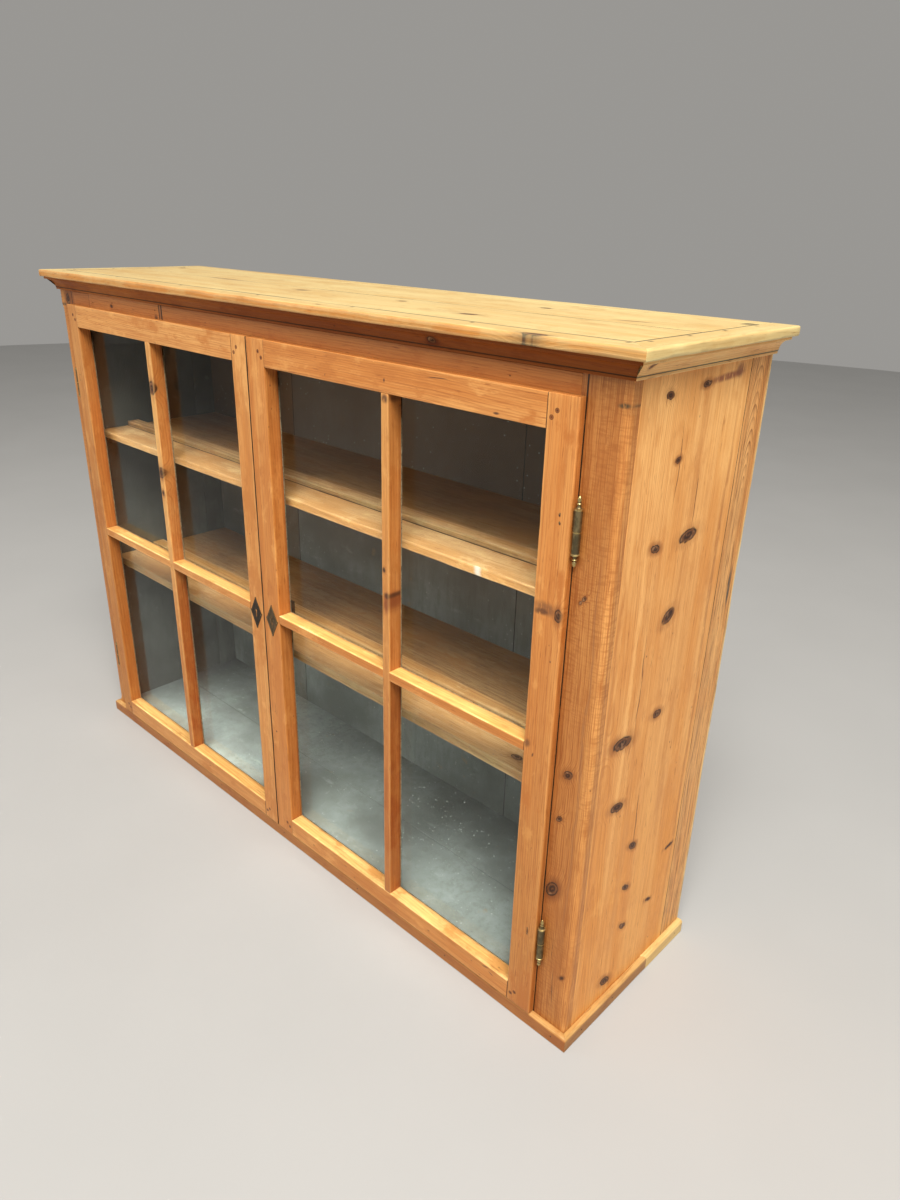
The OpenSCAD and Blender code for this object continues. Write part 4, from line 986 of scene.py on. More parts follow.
class CABINET_OT_cove(bpy.types.Operator):
    """Makes the hollow moulding under the top"""
    bl_idname = "cabinet.cove"
    bl_label = "Cove"

    def execute(self, context):
        """The hollow is a quarter circle: (out - R cos a, level + R sin a), a from 0 to 90."""
        out = BOX["cove_right"][1].x - CASE_SIDE
        step_out, step_h = COVE_STEP
        level = COVE_FOOT + step_h
        a = np.linspace(0, math.pi / 2, 11)
        hollow = np.stack([out - COVE_R * np.cos(a), level + COVE_R * np.sin(a)], axis=1)
        section = [(0, COVE_FOOT), (step_out, COVE_FOOT), (step_out, level), *hollow.tolist(),
                   (out, UNDER_TOP), (0, UNDER_TOP)]
        c = colours()
        # Painted shade and light: the front cove is dark, less so towards the left, and the side
        # coves are the sides' pine made much lighter, as lit
        less_shade_leftwards = (0, 0.3, -0.70, scaled(c.cove, 1.7, 2.2, 3.0), 0.95)
        looks = {
            "front": dict(early=tuple(c.cove), grain="x", sheen=0.12, faces=[less_shade_leftwards],
                          knots=[(0.468, 1.202, 0.009, 0.006, 0)]),
            "left": dict(early=scaled(c.side, 1.16, 1.36, 1.60), grain="y"),
            "right": dict(early=scaled(c.side, 1.16, 1.36, 1.60), grain="y",
                          knots=[(-0.169, 1.207, 0.006, 0.004, 20)]),
        }
        for seed, (place, look) in enumerate(looks.items(), start=61):
            label = f"cove_{place}"
            shell = edging(section, label, place, seed, arris=0.0008, ripple=0.0002,
                           plain=range(4, 13), step=0.02)
            wood = pine(label, centre=middle(label), seed=seed, heart=(0.07, 0.05),
                        ring=wear().ring, contrast=0.6, edge_dirt=0.5,
                        # The seam is a dark line in the crease at the foot of the hollow: painted
                        # shade
                        seams=[(2, level, 0.0012)], **look)
            piece(f"{label}_moulding", [shell], wood, "case", "dark_pine", label)
        return {"FINISHED"}


class CABINET_OT_top(bpy.types.Operator):
    """Makes the boards of the top and the strips around them"""
    bl_idname = "cabinet.top"
    bl_label = "Top"

    def execute(self, context):
        c = colours()
        out = BOX["top_right_strip"][1].x - CASE_SIDE
        back = BOX["top_right_strip"][1].y
        strip_in = CASE_SIDE - BOX["top_right_strip"][0].x
        section = rectangle(-strip_in, UNDER_TOP, out, TOP_Z)

        def lip(t):
            """The upper front arris is worn in humps: 1.4 mm * sin 19 t * sin 7.3 t where
            that is above 0, on 4.2 mm."""
            r = np.full((len(t), 4), 0.0007)
            r[:, 1] = 0.0034
            r[:, 2] = 0.0042 + 0.0014 * np.maximum(0, np.sin(t * 19.0) * np.sin(t * 7.3))
            return r

        # Painted shade: the front face of the front strip's lip is darker than the lit top
        shaded_lip_face = (1, CASE_FRONT - out + 0.0045, CASE_FRONT - out + 0.0018,
                    scaled(c.front, 0.86, 0.82, 0.55), 1.0)
        side_nails = (0.1, 0.052, 1, CASE_SIDE - NAIL_IN)
        looks = {
            "front": dict(grain="top", seams=[(1, CASE_FRONT + strip_in, 0.0034)],
                          nails=(0.8 / 3, 0.0, 0, CASE_FRONT + NAIL_IN), faces=[shaded_lip_face],
                          knots=[(0.676, -0.213, 0.022, 0.007, 4),
                                 (0.2, -0.199, 0.006, 0.003, 0)]),
            "left": dict(grain="end", seams=[(0, strip_in - CASE_SIDE, 0.0024)],
                         nails=side_nails),
            "right": dict(grain="end", seams=[(0, CASE_SIDE - strip_in, 0.0024)],
                          nails=side_nails,
                          streaks=[(0.168, 0.797, 0.026, 0.010, 0, (0.15, 0.12, 0.055), 0.95)]),
        }
        for seed, (place, look) in enumerate(looks.items(), start=71):
            label = f"top_{place}_strip"
            reach = {} if place == "front" else {"reach": (CASE_FRONT, back)}
            shell = edging(section, label, place, seed, arris=0.0008, radii=lip,
                           ripple=wear().ripple, chips=wear().chips, **reach)
            wood = pine(label, centre=middle(label), early=tuple(c.top), seed=seed,
                        heart=(0.05, 0.04), ring=wear().ring * 1.2, late=0.62, contrast=0.5,
                        edge_light=0.15, edge_dirt=0.25, rough=0.4, **look)
            piece(label + "_board", [shell], wood, "case", "top_pine", label)
        shell = plank("top_back_strip", arris=0.002, seed=75, ripple=wear().ripple)
        wood = pine("top_back_strip", "top", middle("top_back_strip"), tuple(c.top), seed=75,
                    heart=(0.05, 0.04), ring=wear().ring, late=0.62, contrast=0.6, rough=0.4)
        piece("top_back_strip_board", [shell], wood, "case", "top_pine", "top_back_strip")
        low, high = BOX["top_boards"]
        joint = (low.y + high.y) / 2
        boards = [
            carry(rectangle(near, low.z, far, high.z), low.x, high.x, "x", arris=0.001,
                  seed=seed, ripple=wear().ripple * 1.4)
            for near, far, seed in ((low.y, joint - JOINT, 76), (joint + JOINT, high.y, 77))]
        wood = pine("top_boards", "top", (0.0, joint, TOP_Z), tuple(c.top), seed=76,
                    heart=(0.02, 0.035), tilt=0.015, ring=wear().ring * 1.3, late=0.66,
                    contrast=0.5, rough=0.4,
                    seams=[(1, low.y, 0.0032), (0, low.x, 0.003), (0, high.x, 0.0024),
                           (1, joint, 0.0018)],
                    knots=[(0.451, -0.099, 0.017, 0.007, 10), (0.456, 0.094, 0.010, 0.006, 0),
                           (-0.05, -0.041, 0.012, 0.007, 20), (0.231, -0.032, 0.008, 0.006, 0),
                           (-0.772, 0.124, 0.012, 0.007, 0)],
                    streaks=[(-0.37, 0.0, 0.10, 0.012, 0, (0.30, 0.14, 0.05), 0.7),
                             (0.663, 0.044, 0.05, 0.007, 8, (0.24, 0.12, 0.05), 0.8),
                             (0.793, 0.168, 0.016, 0.026, 0, (0.15, 0.12, 0.055), 0.95)])
        piece("top_boards_pair", boards, wood, "case", "top_pine", "top_boards")
        return {"FINISHED"}


class CABINET_OT_shelves(bpy.types.Operator):
    """Makes the shelves and their plate strips"""
    bl_idname = "cabinet.shelves"
    bl_label = "Shelves"

    def execute(self, context):
        c = colours()
        ahead, behind = (box.y for box in BOX["upper_plate_strip"])
        boards = dict(seams=[(1, ahead, 0.0020), (1, behind, 0.0024)])
        # Darker behind the plate strip: grime, and painted shade at the back of the shelf
        grime_and_shade = (1, behind, behind + 0.04, scaled(c.shelf, 0.50, 0.45, 0.40), 0.8)
        chalk = (0.534, -0.1475, 0.012, 0.006, 0, (0.66, 0.64, 0.60), 0.95)
        # Painted light and shade on the front faces: lit on the upper shelf, in shade on the
        # lower shelf and the plate strips
        bright, dull = scaled(c.top, 0.95, 0.72, 0.62), scaled(c.top, 0.42, 0.37, 0.34)
        rows = (("upper_shelf", bright, [grime_and_shade], dict(streaks=[chalk], **boards)),
                ("lower_shelf", dull, [grime_and_shade], dict(knots=[(0.617, -0.114, 0.012, 0.007, 0)],
                                                    **boards)),
                ("upper_plate_strip", dull, [], {}),
                ("lower_plate_strip", dull, [], {}))
        for seed, (label, nosing_light, rear_grime_and_shade, look) in enumerate(rows, start=81):
            shell = plank(label, arris=wear().arris, seed=seed, ripple=wear().ripple,
                          chips=wear().chips)
            front = BOX[label][0].y
            wood = pine(label, "top", middle(label), tuple(c.shelf), seed=seed,
                        heart=(0.02, 0.04), ring=wear().ring * 1.2, contrast=1.1, bands=0.9,
                        mottle=1.0, rough=0.62, edge_light=0.25,
                        faces=[(1, front + 0.003, front + 0.0005, nosing_light, 0.8), *rear_grime_and_shade], **look)
            piece(label + "_board", [shell], wood, "case", "shelf_pine", label)
        return {"FINISHED"}


def cloudy(f, xyz, seed):
    """Soft patches about a hand wide, from 0 to 1."""
    x, y, z = xyz
    return f.noise(f.point(x * 7.0 + seed, y * 7.0, z * 2.2), 1.0, 4.0, 0.6).step(0.35, 0.65)


def bare_wood(f, xyz, seed, run):
    """Unwaxed old wood with its grain along the axis run: its stripes are the square of a sine
    of drawn-out noise."""
    flow = f.point(*[value * (1.3 if k == run else 34.0) for k, value in enumerate(xyz)])
    fine = f.point(*[value * (9.0 if k == run else 420.0) for k, value in enumerate(xyz)])
    stripes = ((f.noise(flow, 1.0) * 26.0 + xyz[0] * 9.0).math("SINE") * 0.5 + 0.5) ** 2.0
    fibre = f.noise(fine, 1.0, 3.0, 0.6).step(0.48, 0.70)
    return f.layers((0.36, 0.225, 0.11),
                    (cloudy(f, xyz, seed), (0.50, 0.335, 0.175)),
                    (stripes * 0.42, (0.27, 0.145, 0.06)),
                    (fibre * 0.45, (0.22, 0.125, 0.055)))


def paint(name, tint, seams=(), seed=0.0, painted_light=(), bare=None):
    """Thin old paint, darker and browner higher up as painted shade under the top, with dust
    and a dark groove at each seam between boards. Each of tones (axis, from, to, first, last)
    is painted light and shade: it makes the paint lighter or darker by factors along an axis.
    bare = (axis, from, to, run) leaves the wood unpainted beyond a place, with its grain
    along the axis run."""
    f = Finish(name)
    xyz = f.place()
    x, y, z = xyz
    worn = f.noise(f.point(x * 21.0, y * 21.0, z * 21.0 + seed), 1.0, 4.0, 0.65)
    colour = f.layers(old_paint(f, xyz, tint, seed),
                      (worn.step(0.66, 0.74) * 0.5, (0.30, 0.22, 0.13)),
                      # Painted shade: darker and browner higher up
                      (z.step(0.40, 0.90) * 0.85, scaled(tint, 0.62, 0.32, 0.18)))
    # Painted light and shade along an axis
    for axis, start, end, first, last in painted_light:
        tone = f.mix(xyz[axis].step(start, end), (first,) * 3, (last,) * 3)
        colour = f.mix(1.0, colour, tone, "MULTIPLY")
    speck = f.cells(f.point(x * 70.0, y * 70.0, z * 70.0 + seed)).step(0.05, 0.14, 0.75, 0.0)
    some = f.noise(f.point(x * 12.0 + seed, y * 12.0, z * 12.0), 1.0).step(0.46, 0.56)
    colour = f.mix(speck * some, colour, scaled(tint, 2.2, 2.2, 2.1))
    grain = f.noise(f.point(x * 300.0, y * 90.0, z * 9.0), 1.0, 3.0, 0.6)
    height = grain * 0.6 + worn * 0.4
    if bare is not None:
        axis, start, end, run = bare
        colour = f.mix(xyz[axis].step(start, end), colour, bare_wood(f, xyz, seed, run))
    for axis, where, width in seams:
        line = xyz[axis].line(where, width, core=0.4)
        colour = f.mix(line, colour, (0.012, 0.011, 0.010))
        height = height - line * 2.0
    f.shine(Base_Color=colour, Roughness=worn * 0.3 + 0.5)
    f.bump(height, 0.5, 0.0008)
    return f.material


class CABINET_OT_inside_paint(bpy.types.Operator):
    """Paints the floor, the back and the shelf cleats"""
    bl_idname = "cabinet.inside_paint"
    bl_label = "Inside paint"

    def execute(self, context):
        tint = colours().paint
        low, high = BOX["back_boards"]
        share = (high.x - low.x - BACK_RIGHT_BOARD) / 3
        dress("back_boards", paint(
            "back_boards", scaled(tint, 0.92), seed=4.0,
            seams=[(0, low.x + share * k, 0.0016) for k in (1, 2, 3)],
            # Painted light and shade on the back: lighter at the left, darker at the right
            painted_light=[(0, -0.1, 0.5, 1.25, 0.85)],
            bare=(1, high.y - 0.0012, high.y - 0.0008, 2)))
        low, high = BOX["floor_boards"]
        dress("floor_boards", paint(
            "floor_boards", scaled(tint, 0.98, 1.0, 1.02), seed=9.0,
            seams=[(1, (low.y + high.y) / 2, 0.0006)],
            # Painted light and shade on the floor: lighter at the left and the front, darker at
            # the right and in the shade of the left wall
            painted_light=[(0, -0.60, 0.30, 1.55, 0.84), (0, -0.80, -0.56, 0.36, 1.0),
                   (1, -0.15, 0.05, 1.20, 1.0)],
            bare=(2, low.z + 0.0012, low.z + 0.0008, 0)))
        dress("shelf_cleats", paint("shelf_cleats", tuple(tint), seed=13.0))
        return {"FINISHED"}


def stile(label, lipped, seed, worn=0.0):
    """A door stile, its section changing with height: at both ends only the lip in front,
    between them the body, and behind the panes a rebate on the inner edge. The outer arris
    is nibbled: radius = arris * (1.3 + worn * exp(-((z - NIBBLED_Z) / 60 mm)^2) *
    (1 + sin 260 z))."""
    low, high = BOX[label]
    left_edge = lipped == (label.startswith("left"))
    edge, inner = (low.x, high.x) if left_edge else (high.x, low.x)
    sign = 1 if inner > edge else -1
    shoulder = edge + sign * LIP if lipped else edge

    def section(z):
        lip = (z < INNER_FOOT) | (z > INNER_HEAD)
        back = np.where(lip, CASE_FRONT - LIP_GAP, DOOR_BACK)
        rebated = (z > SIGHT_LOW - REBATE) & (z < SIGHT_HIGH + REBATE)
        cheek = np.where(rebated, GLASS_FRONT, back)
        lip_back = np.full(len(z), CASE_FRONT - LIP_GAP)
        face = np.full(len(z), DOOR_FACE)
        deep = inner - sign * REBATE
        xs = [edge, inner, inner, deep, deep, shoulder, shoulder, edge]
        ys = [face, face, cheek, cheek, back, back, lip_back, lip_back]
        return np.stack([np.stack(np.broadcast_arrays(x, y), axis=-1) for x, y in zip(xs, ys)],
                        axis=1)

    def radii(t):
        r = np.full((len(t), 8), 0.0004)
        nibbled = np.exp(-((t - NIBBLED_Z) / 0.06) ** 2) * (1 + np.sin(t * 260))
        r[:, 0] = wear().arris * (1.3 + worn * nibbled)
        r[:, 1] = wear().arris * 0.9
        r[:, 7] = 0.0008
        return r

    return carry(section, low.z, high.z, "z", arris=0.001, seed=seed, radii=radii, step=0.008,
                 ripple=wear().ripple, chips=wear().chips,
                 breaks=(INNER_FOOT, SIGHT_LOW - REBATE, SIGHT_HIGH + REBATE, INNER_HEAD))


def door_rail(place, x0, x1, seed):
    """A door rail at the top or bottom: lip, body and rebate, from shoulder to shoulder."""
    sight, head, inner, deep = {
        "top": (SIGHT_HIGH, DOOR_HEAD, INNER_HEAD, SIGHT_HIGH + REBATE),
        "bottom": (SIGHT_LOW, DOOR_FOOT, INNER_FOOT, SIGHT_LOW - REBATE)}[place]
    lip_back = CASE_FRONT - LIP_GAP
    section = [(DOOR_FACE, sight), (DOOR_FACE, head), (lip_back, head), (lip_back, inner),
               (DOOR_BACK, inner), (DOOR_BACK, deep), (GLASS_FRONT, deep), (GLASS_FRONT, sight)]

    def radii(t):
        r = np.full((len(t), 8), 0.0004)
        r[:, :2] = wear().arris
        return r

    return carry(section, x0, x1, "x", arris=0.001, seed=seed, radii=radii, ease=0.0003,
                 ripple=wear().ripple, chips=wear().chips)


def bar(axis, middle_at, width, start, end, seed):
    """A glazing bar with the tongue that parts two panes."""
    half, tongue = width / 2, TONGUE / 2
    section = [(DOOR_FACE, -half), (DOOR_FACE, half), (GLASS_FRONT, half), (GLASS_FRONT, tongue),
               (DOOR_BACK, tongue), (DOOR_BACK, -tongue), (GLASS_FRONT, -tongue),
               (GLASS_FRONT, -half)]
    if axis == "z":
        section = [(middle_at + v, y) for y, v in section]
    else:
        section = [(y, middle_at + v) for y, v in section]

    def radii(t):
        r = np.full((len(t), 8), 0.0003)
        r[:, :2] = wear().arris * 0.8
        return r

    return carry(section, start, end, axis, arris=0.001, seed=seed, radii=radii, ease=0.0003,
                 ripple=0.0002, chips=wear().chips * 0.7)


# Marks on the doors, in the model's frame: knots as on the sides, and streaks with a tint and
# a strength. Along the grain comes first.

SCAR = (0.055, 0.02, 0.008)
NAIL_HOLE = (0.05, 0.02, 0.01)
HINGE_STILE_MARKS = {"left": {}, "right": {
    "knots": [(0.838, 0.743, 0.011, 0.007, 0)],
    "streaks": [(0.991, 0.731, 0.0035, 0.0028, 0, NAIL_HOLE, 1.0),
                (0.979, 0.7315, 0.0035, 0.0028, 0, NAIL_HOLE, 1.0),
                (0.843, 0.722, 0.015, 0.030, 4, (0.20, 0.075, 0.025), 0.8),
                (0.836, 0.712, 0.007, 0.020, -8, (0.10, 0.035, 0.013), 0.8),
                (0.583, 0.7166, 0.006, 0.0025, 20, (0.12, 0.04, 0.015), 0.9),
                (0.221, 0.733, 0.012, 0.0028, 0, SCAR, 0.95),
                (0.60, 0.705, 0.012, 0.007, 20, (0.16, 0.06, 0.02), 0.8)]}}
BOTTOM_RAIL_MARKS = {"left": [(-0.31, 0.052, 0.005, 0.0018, 10, SCAR, 0.9)], "right": [
    (0.490, 0.053, 0.004, 0.0018, 0, SCAR, 1.0),
    (0.588, 0.031, 0.004, 0.002, 0, SCAR, 1.0),
    (0.642, 0.066, 0.012, 0.003, 20, (0.20, 0.07, 0.025), 0.9),
    (0.656, 0.058, 0.008, 0.0022, -15, (0.16, 0.05, 0.02), 0.9),
    (0.354, 0.070, 0.005, 0.002, 0, SCAR, 0.9),
    (0.707, 0.059, 0.003, 0.002, 0, SCAR, 0.9),
    (0.120, 0.048, 0.004, 0.0016, 0, SCAR, 0.9),
    (0.232, 0.060, 0.006, 0.0015, 0, SCAR, 0.8)]}
TOP_RAIL_MARKS = {"left": [], "right": [
    (0.217, 1.118, 0.003, 0.0016, 60, (0.08, 0.03, 0.015), 0.8),
    (0.367, 1.129, 0.003, 0.004, 0, (0.10, 0.035, 0.015), 0.9),
    (0.606, 1.113, 0.008, 0.003, 0, (0.08, 0.03, 0.015), 0.9),
    (0.486, 1.146, 0.03, 0.0015, 3, (0.06, 0.025, 0.012), 0.9)]}
BAR_KNOTS = {"left": [(1.010, -0.3915, 0.016, 0.012, 0), (0.818, -0.3915, 0.014, 0.012, 20),
                      (0.769, -0.3935, 0.007, 0.006, 0)],
             "right": [(0.80, 0.364, 0.005, 0.004, 0)]}
BAR_MARKS = {"left": [], "right": [
    (0.738, 0.370, 0.030, 0.012, 0, (0.20, 0.045, 0.012), 0.85),
    (0.752, 0.370, 0.008, 0.012, 0, (0.07, 0.02, 0.008), 0.9),
    (1.100, 0.370, 0.010, 0.012, 0, (0.07, 0.025, 0.01), 0.85)]}
DOOR_TINT = {"left": (1.06, 1.14, 1.25), "right": (1.0, 1.0, 1.0)}
STILE_TINT = {"left": (0.82, 0.78, 0.74), "right": (1.0, 0.97, 0.93)}
BAR_TINT = {"left": (1.07, 1.26, 1.46), "right": (1.06, 1.22, 1.40)}
# Painted shade: the upright bars darken towards their feet
BAR_FOOT_SHADE = {"left": (0.80, 0.66, 0.50), "right": (0.70, 0.50, 0.30)}
# Painted light: the upward faces of the bottom rails and the cross bars are paler and yellower,
# as if lit from above
LIT_LEDGE_TINT = (1.18, 0.96, 0.42)


def keyhole_x(side):
    """Middle of a door's keyhole, from the edge where the doors meet."""
    if side == "left":
        return MEETING_X - LEFT_KEYHOLE_IN
    return BOX["right_meeting_stile"][0].x + RIGHT_KEYHOLE_IN


def door_wood(side, part, grain, seed, faces=(), shade=(1.0, 1.0, 1.0), **more):
    """A door member's pine: painted shade in the reveals before the glass, and paler at the back.
    """
    front = colours().front
    # Painted shade in the reveals and deeper towards the glass; the back face is paler
    reveals = [
        (1, DOOR_FACE + 0.0018, DOOR_FACE + 0.0045, scaled(front, 0.78, 0.62, 0.48), 0.9),
        (1, GLASS_FRONT - 0.008, GLASS_FRONT - 0.001, scaled(front, 0.62, 0.50, 0.40), 0.9),
        (1, DOOR_BACK - 0.0012, DOOR_BACK - 0.0004, scaled(front, 1.5, 2.0, 2.6), 0.95)]
    tint = scaled(scaled(front, *DOOR_TINT[side]), *shade)
    label = f"{side}_{part}"
    return pine(label, grain, middle(label), tint, seed=seed, faces=[*reveals, *faces],
                skin=DOOR_FACE, heart=(0.05, 0.045), tilt=0.01, ring=wear().ring, late=0.58,
                contrast=1.05, bands=0.85, mottle=1.0, **more)


class CABINET_OT_door_frames(bpy.types.Operator):
    """Makes the stiles, rails and glazing bars of both doors, and their pegs"""
    bl_idname = "cabinet.door_frames"
    bl_label = "Door frames"

    def execute(self, context):
        for side, seed in (("left", 101), ("right", 131)):
            hinge, meeting = BOX[f"{side}_hinge_stile"], BOX[f"{side}_meeting_stile"]
            shoulders = ((hinge[1].x, meeting[0].x) if side == "left"
                         else (meeting[1].x, hinge[0].x))
            pegs = self.peg_places(*shoulders)
            self.stiles(side, seed, pegs)
            self.rails(side, seed, *shoulders)
            self.bars(side, seed, *shoulders)
            self.pegs(side, pegs)
        return {"FINISHED"}

    def put(self, side, part, shells, wood):
        label = f"{side}_{part}"
        piece(f"{label}_board", shells, wood, f"{side}_door", "front_pine", label)

    def stiles(self, side, seed, pegs):
        """The hinge stile, lipped over the post, and the stile where the doors meet."""
        label = f"{side}_hinge_stile"
        # Painted shade: the hinge stile darkens towards its foot
        foot = (2, 0.90, 0.20, scaled(colours().front, 0.80, 0.76, 0.66), 0.9)
        self.put(side, "hinge_stile", [stile(label, True, seed, worn=1.0)],
                 door_wood(side, "hinge_stile", "z", seed, dots=self.near(label, pegs),
                           faces=[foot], shade=STILE_TINT[side], **HINGE_STILE_MARKS[side]))
        label = f"{side}_meeting_stile"
        edge = BOX[label][1 if side == "left" else 0].x
        # Marks of the right meeting stile: a near-black patch under the plate, which its keyhole
        # shows as painted shade inside the hole, a nail hole and a crack
        marks = [(0.582, keyhole_x(side), 0.013, 0.006, 0, (0.004, 0.003, 0.002), 1.0),
                 (0.301, -0.001, 0.0032, 0.0028, 0, NAIL_HOLE, 1.0),
                 (0.360, 0.006, 0.022, 0.0010, 0, (0.08, 0.03, 0.012), 0.8)]
        self.put(side, "meeting_stile", [stile(label, False, seed + 1)],
                 door_wood(side, "meeting_stile", "z", seed + 1, dots=self.near(label, pegs),
                           # The seam at the edge is a dark line along the gap between the doors:
                           # painted shade
                           edge_light=0.05, seams=[(0, edge, DOOR_JOINT)],
                           streaks=marks if side == "right" else ()))

    def rails(self, side, seed, x0, x1):
        """The top and bottom rails, with a dark joint at each shoulder."""
        joints = [(0, x0, DOOR_JOINT), (0, x1, DOOR_JOINT)]
        self.put(side, "top_rail", [door_rail("top", x0, x1, seed + 2)],
                 door_wood(side, "top_rail", "x", seed + 2, seams=joints,
                           streaks=TOP_RAIL_MARKS[side]))
        # Painted light on the rail's upward ledge under the panes
        lit_ledge = (2, SIGHT_LOW - 0.0016, SIGHT_LOW - 0.0007, LIT_LEDGE_TINT, 0.8)
        self.put(side, "bottom_rail", [door_rail("bottom", x0, x1, seed + 3)],
                 door_wood(side, "bottom_rail", "x", seed + 3, seams=joints, faces=[lit_ledge],
                           streaks=BOTTOM_RAIL_MARKS[side]))

    def bars(self, side, seed, x0, x1):
        """The upright bar from rail to rail, and the cross bar in two lengths beside it."""
        low, high = BOX[f"{side}_upright_bar"]
        mid, width = (low.x + high.x) / 2, high.x - low.x
        # Painted shade: the bar darkens towards its foot
        foot = (2, 0.95, 0.25, scaled(colours().front, *BAR_FOOT_SHADE[side]), 0.9)
        self.put(side, "upright_bar", [bar("z", mid, width, SIGHT_LOW, SIGHT_HIGH, seed + 4)],
                 door_wood(side, "upright_bar", "z", seed + 4, knots=BAR_KNOTS[side],
                           streaks=BAR_MARKS[side], fade=38.0, shade=BAR_TINT[side],
                           faces=[foot]))
        low, high = BOX[f"{side}_cross_bar"]
        level, thick = (low.z + high.z) / 2, high.z - low.z
        # Painted light on the bar's upper face
        lit_ledge = (2, high.z - 0.0016, high.z - 0.0007, LIT_LEDGE_TINT, 0.9)
        self.put(side, "cross_bar",
                 [bar("x", level, thick, x0, mid - width / 2, seed + 5),
                  bar("x", level, thick, mid + width / 2, x1, seed + 6)],
                 door_wood(side, "cross_bar", "x", seed + 5, faces=[lit_ledge],
                           seams=[(0, x0, DOOR_JOINT), (0, x1, DOOR_JOINT)]))

    def peg_places(self, x0, x1):
        """Two pegs through each corner joint, as (x, z), from the shoulders x0 and x1."""
        tenons = ((INNER_FOOT + 0.002, SIGHT_LOW - REBATE - 0.001),
                  (SIGHT_HIGH + REBATE + 0.001, INNER_HEAD - 0.003))
        return [(shoulder + way * (PEG_IN + PEG_STEP * k), foot + (head - foot) * share)
                for shoulder, way in ((x0, -1), (x1, 1))
                for foot, head in tenons for k, share in ((0, 0.3), (1, 0.7))]

    def near(self, label, pegs):
        """The pegs that show on one stile, as (along, across, radius)."""
        return [(z, x, PEG_HOLE_R) for x, z in pegs if BOX[label][0].x < x < BOX[label][1].x]

    def pegs(self, side, places):
        """Whittled pegs with low domed ends: the dome is (PEG_R cos a, rise sin a)."""
        a = np.linspace(0, math.pi / 2, 5)
        rise = 0.0003
        dome = np.stack([PEG_R * np.cos(a), rise * np.sin(a), np.zeros(5)], axis=1)
        length = DOOR_BACK - DOOR_FACE - 2 * rise
        profile = np.concatenate([(dome * (1, -1, 1))[::-1], dome + (0, length, 0)])
        shells = [turn(profile, (x, DOOR_FACE + rise, z), "y", 16, 0.05) for x, z in places]
        wood = pine(f"{side}_pegs", "y", middle(f"{side}_pegs"), scaled(colours().cove, 0.5),
                    seed=7, ring=0.0012, edge_light=0.0)
        piece(f"{side}_peg_ends", shells, wood, f"{side}_door", "dark_pine", f"{side}_pegs")


def old_glass(name):
    """Slightly wavy and hazy glass, with specks of dust outside that thicken downwards. Light
    on its way to the inside passes straight through."""
    f = Finish(name)
    x, y, z = f.place()
    haze = f.noise(f.point(x * 6.0, y, z * 1.6), 1.0, 3.0, 0.6)
    wave = f.noise(f.point(x * 9.0, y * 9.0, z * 5.0), 1.0, 1.0)
    f.shine(Base_Color=(0.93, 0.95, 0.93), Transmission_Weight=1.0, IOR=1.16,
            Roughness=haze.step(0.45, 0.8) * 0.03)
    f.bump(wave, 0.25, 0.0012)
    specks = f.cells(f.point(x * 120.0, 0.0, z * 120.0)).step(0.10, 0.20, 1.0, 0.0)
    lying = f.noise(f.point(x * 60.0, 0.0, z * 60.0), 1.0).step(0.42, 0.58)
    outside = y.step(GLASS_FRONT + 0.001, GLASS_FRONT + 0.002, 1.0, 0.0)
    dust = specks * lying * outside * z.step(0.90, 0.30, 0.1, 0.38)
    dull = f.make("ShaderNodeBsdfDiffuse", {}, {"Color": (0.62, 0.68, 0.70)})
    glass = f.make("ShaderNodeMixShader", {}, (dust, Wire(f, f.shader.outputs[0]), dull))
    clear = f.make("ShaderNodeBsdfTransparent", {}, {"Color": (0.93, 0.95, 0.94)})
    shadow = f.make("ShaderNodeLightPath", {}, (), "Is Shadow Ray")
    both = f.make("ShaderNodeMixShader", {}, (shadow, glass, clear))
    f.feed(f.output.inputs["Surface"], both)
    return f.material


class CABINET_OT_panes(bpy.types.Operator):
    """Gives the panes old, slightly wavy glass, and the putty its dry finish"""
    bl_idname = "cabinet.panes"
    bl_label = "Panes and putty"

    def execute(self, context):
        glass = old_glass("old_glass")
        for side in ("left", "right"):
            dress(f"{side}_panes", glass)
            dress(f"{side}_putty", dry_putty(f"{side}_putty"))
        return {"FINISHED"}


def dry_putty(name):
    """Chalky putty with thumb marks and fine cracks."""
    f = Finish(name)
    x, y, z = f.place()
    lump = f.noise(f.point(x * 90.0, y * 90.0, z * 90.0), 1.0, 3.0, 0.6)
    crack = f.cells(f.point(x * 60.0, y * 60.0, z * 60.0), "DISTANCE_TO_EDGE")
    colour = f.layers((0.34, 0.27, 0.17),
                      (lump.step(0.35, 0.65), (0.50, 0.42, 0.29)),
                      (crack.step(0.0, 0.05, 0.7, 0.0), (0.10, 0.075, 0.05)))
    f.shine(Base_Color=colour, Roughness=lump * 0.2 + 0.7)
    f.bump(lump + crack.step(0.0, 0.05) * 0.5, 0.6, 0.001)
    return f.material


def aged_brass(name):
    """Brass that has gone brown and olive, rubbed bright where the attribute edge is 1."""
    f = Finish(name)
    x, y, z = f.place()
    tint = tuple(colours().brass)
    patch = f.noise(f.point(x * 90.0, y * 90.0, z * 60.0), 1.0, 4.0, 0.6)
    fine = f.noise(f.point(x * 700.0, y * 700.0, z * 300.0), 1.0, 2.0, 0.6)
    bright = f.attribute("edge") * fine.step(0.2, 0.5)
    colour = f.layers(scaled(tint, 0.30),
                      (patch.step(0.35, 0.65), scaled(tint, 0.85)),
                      (bright, scaled(tint, 1.7, 1.65, 1.3)))
    f.shine(Base_Color=colour, Metallic=patch.step(0.25, 0.5, 0.55, 0.95),
            Roughness=0.46 - bright * 0.2 + fine * 0.12)
    f.bump(patch * 0.6 + fine * 0.4, 0.25, 0.0004)
    return f.material


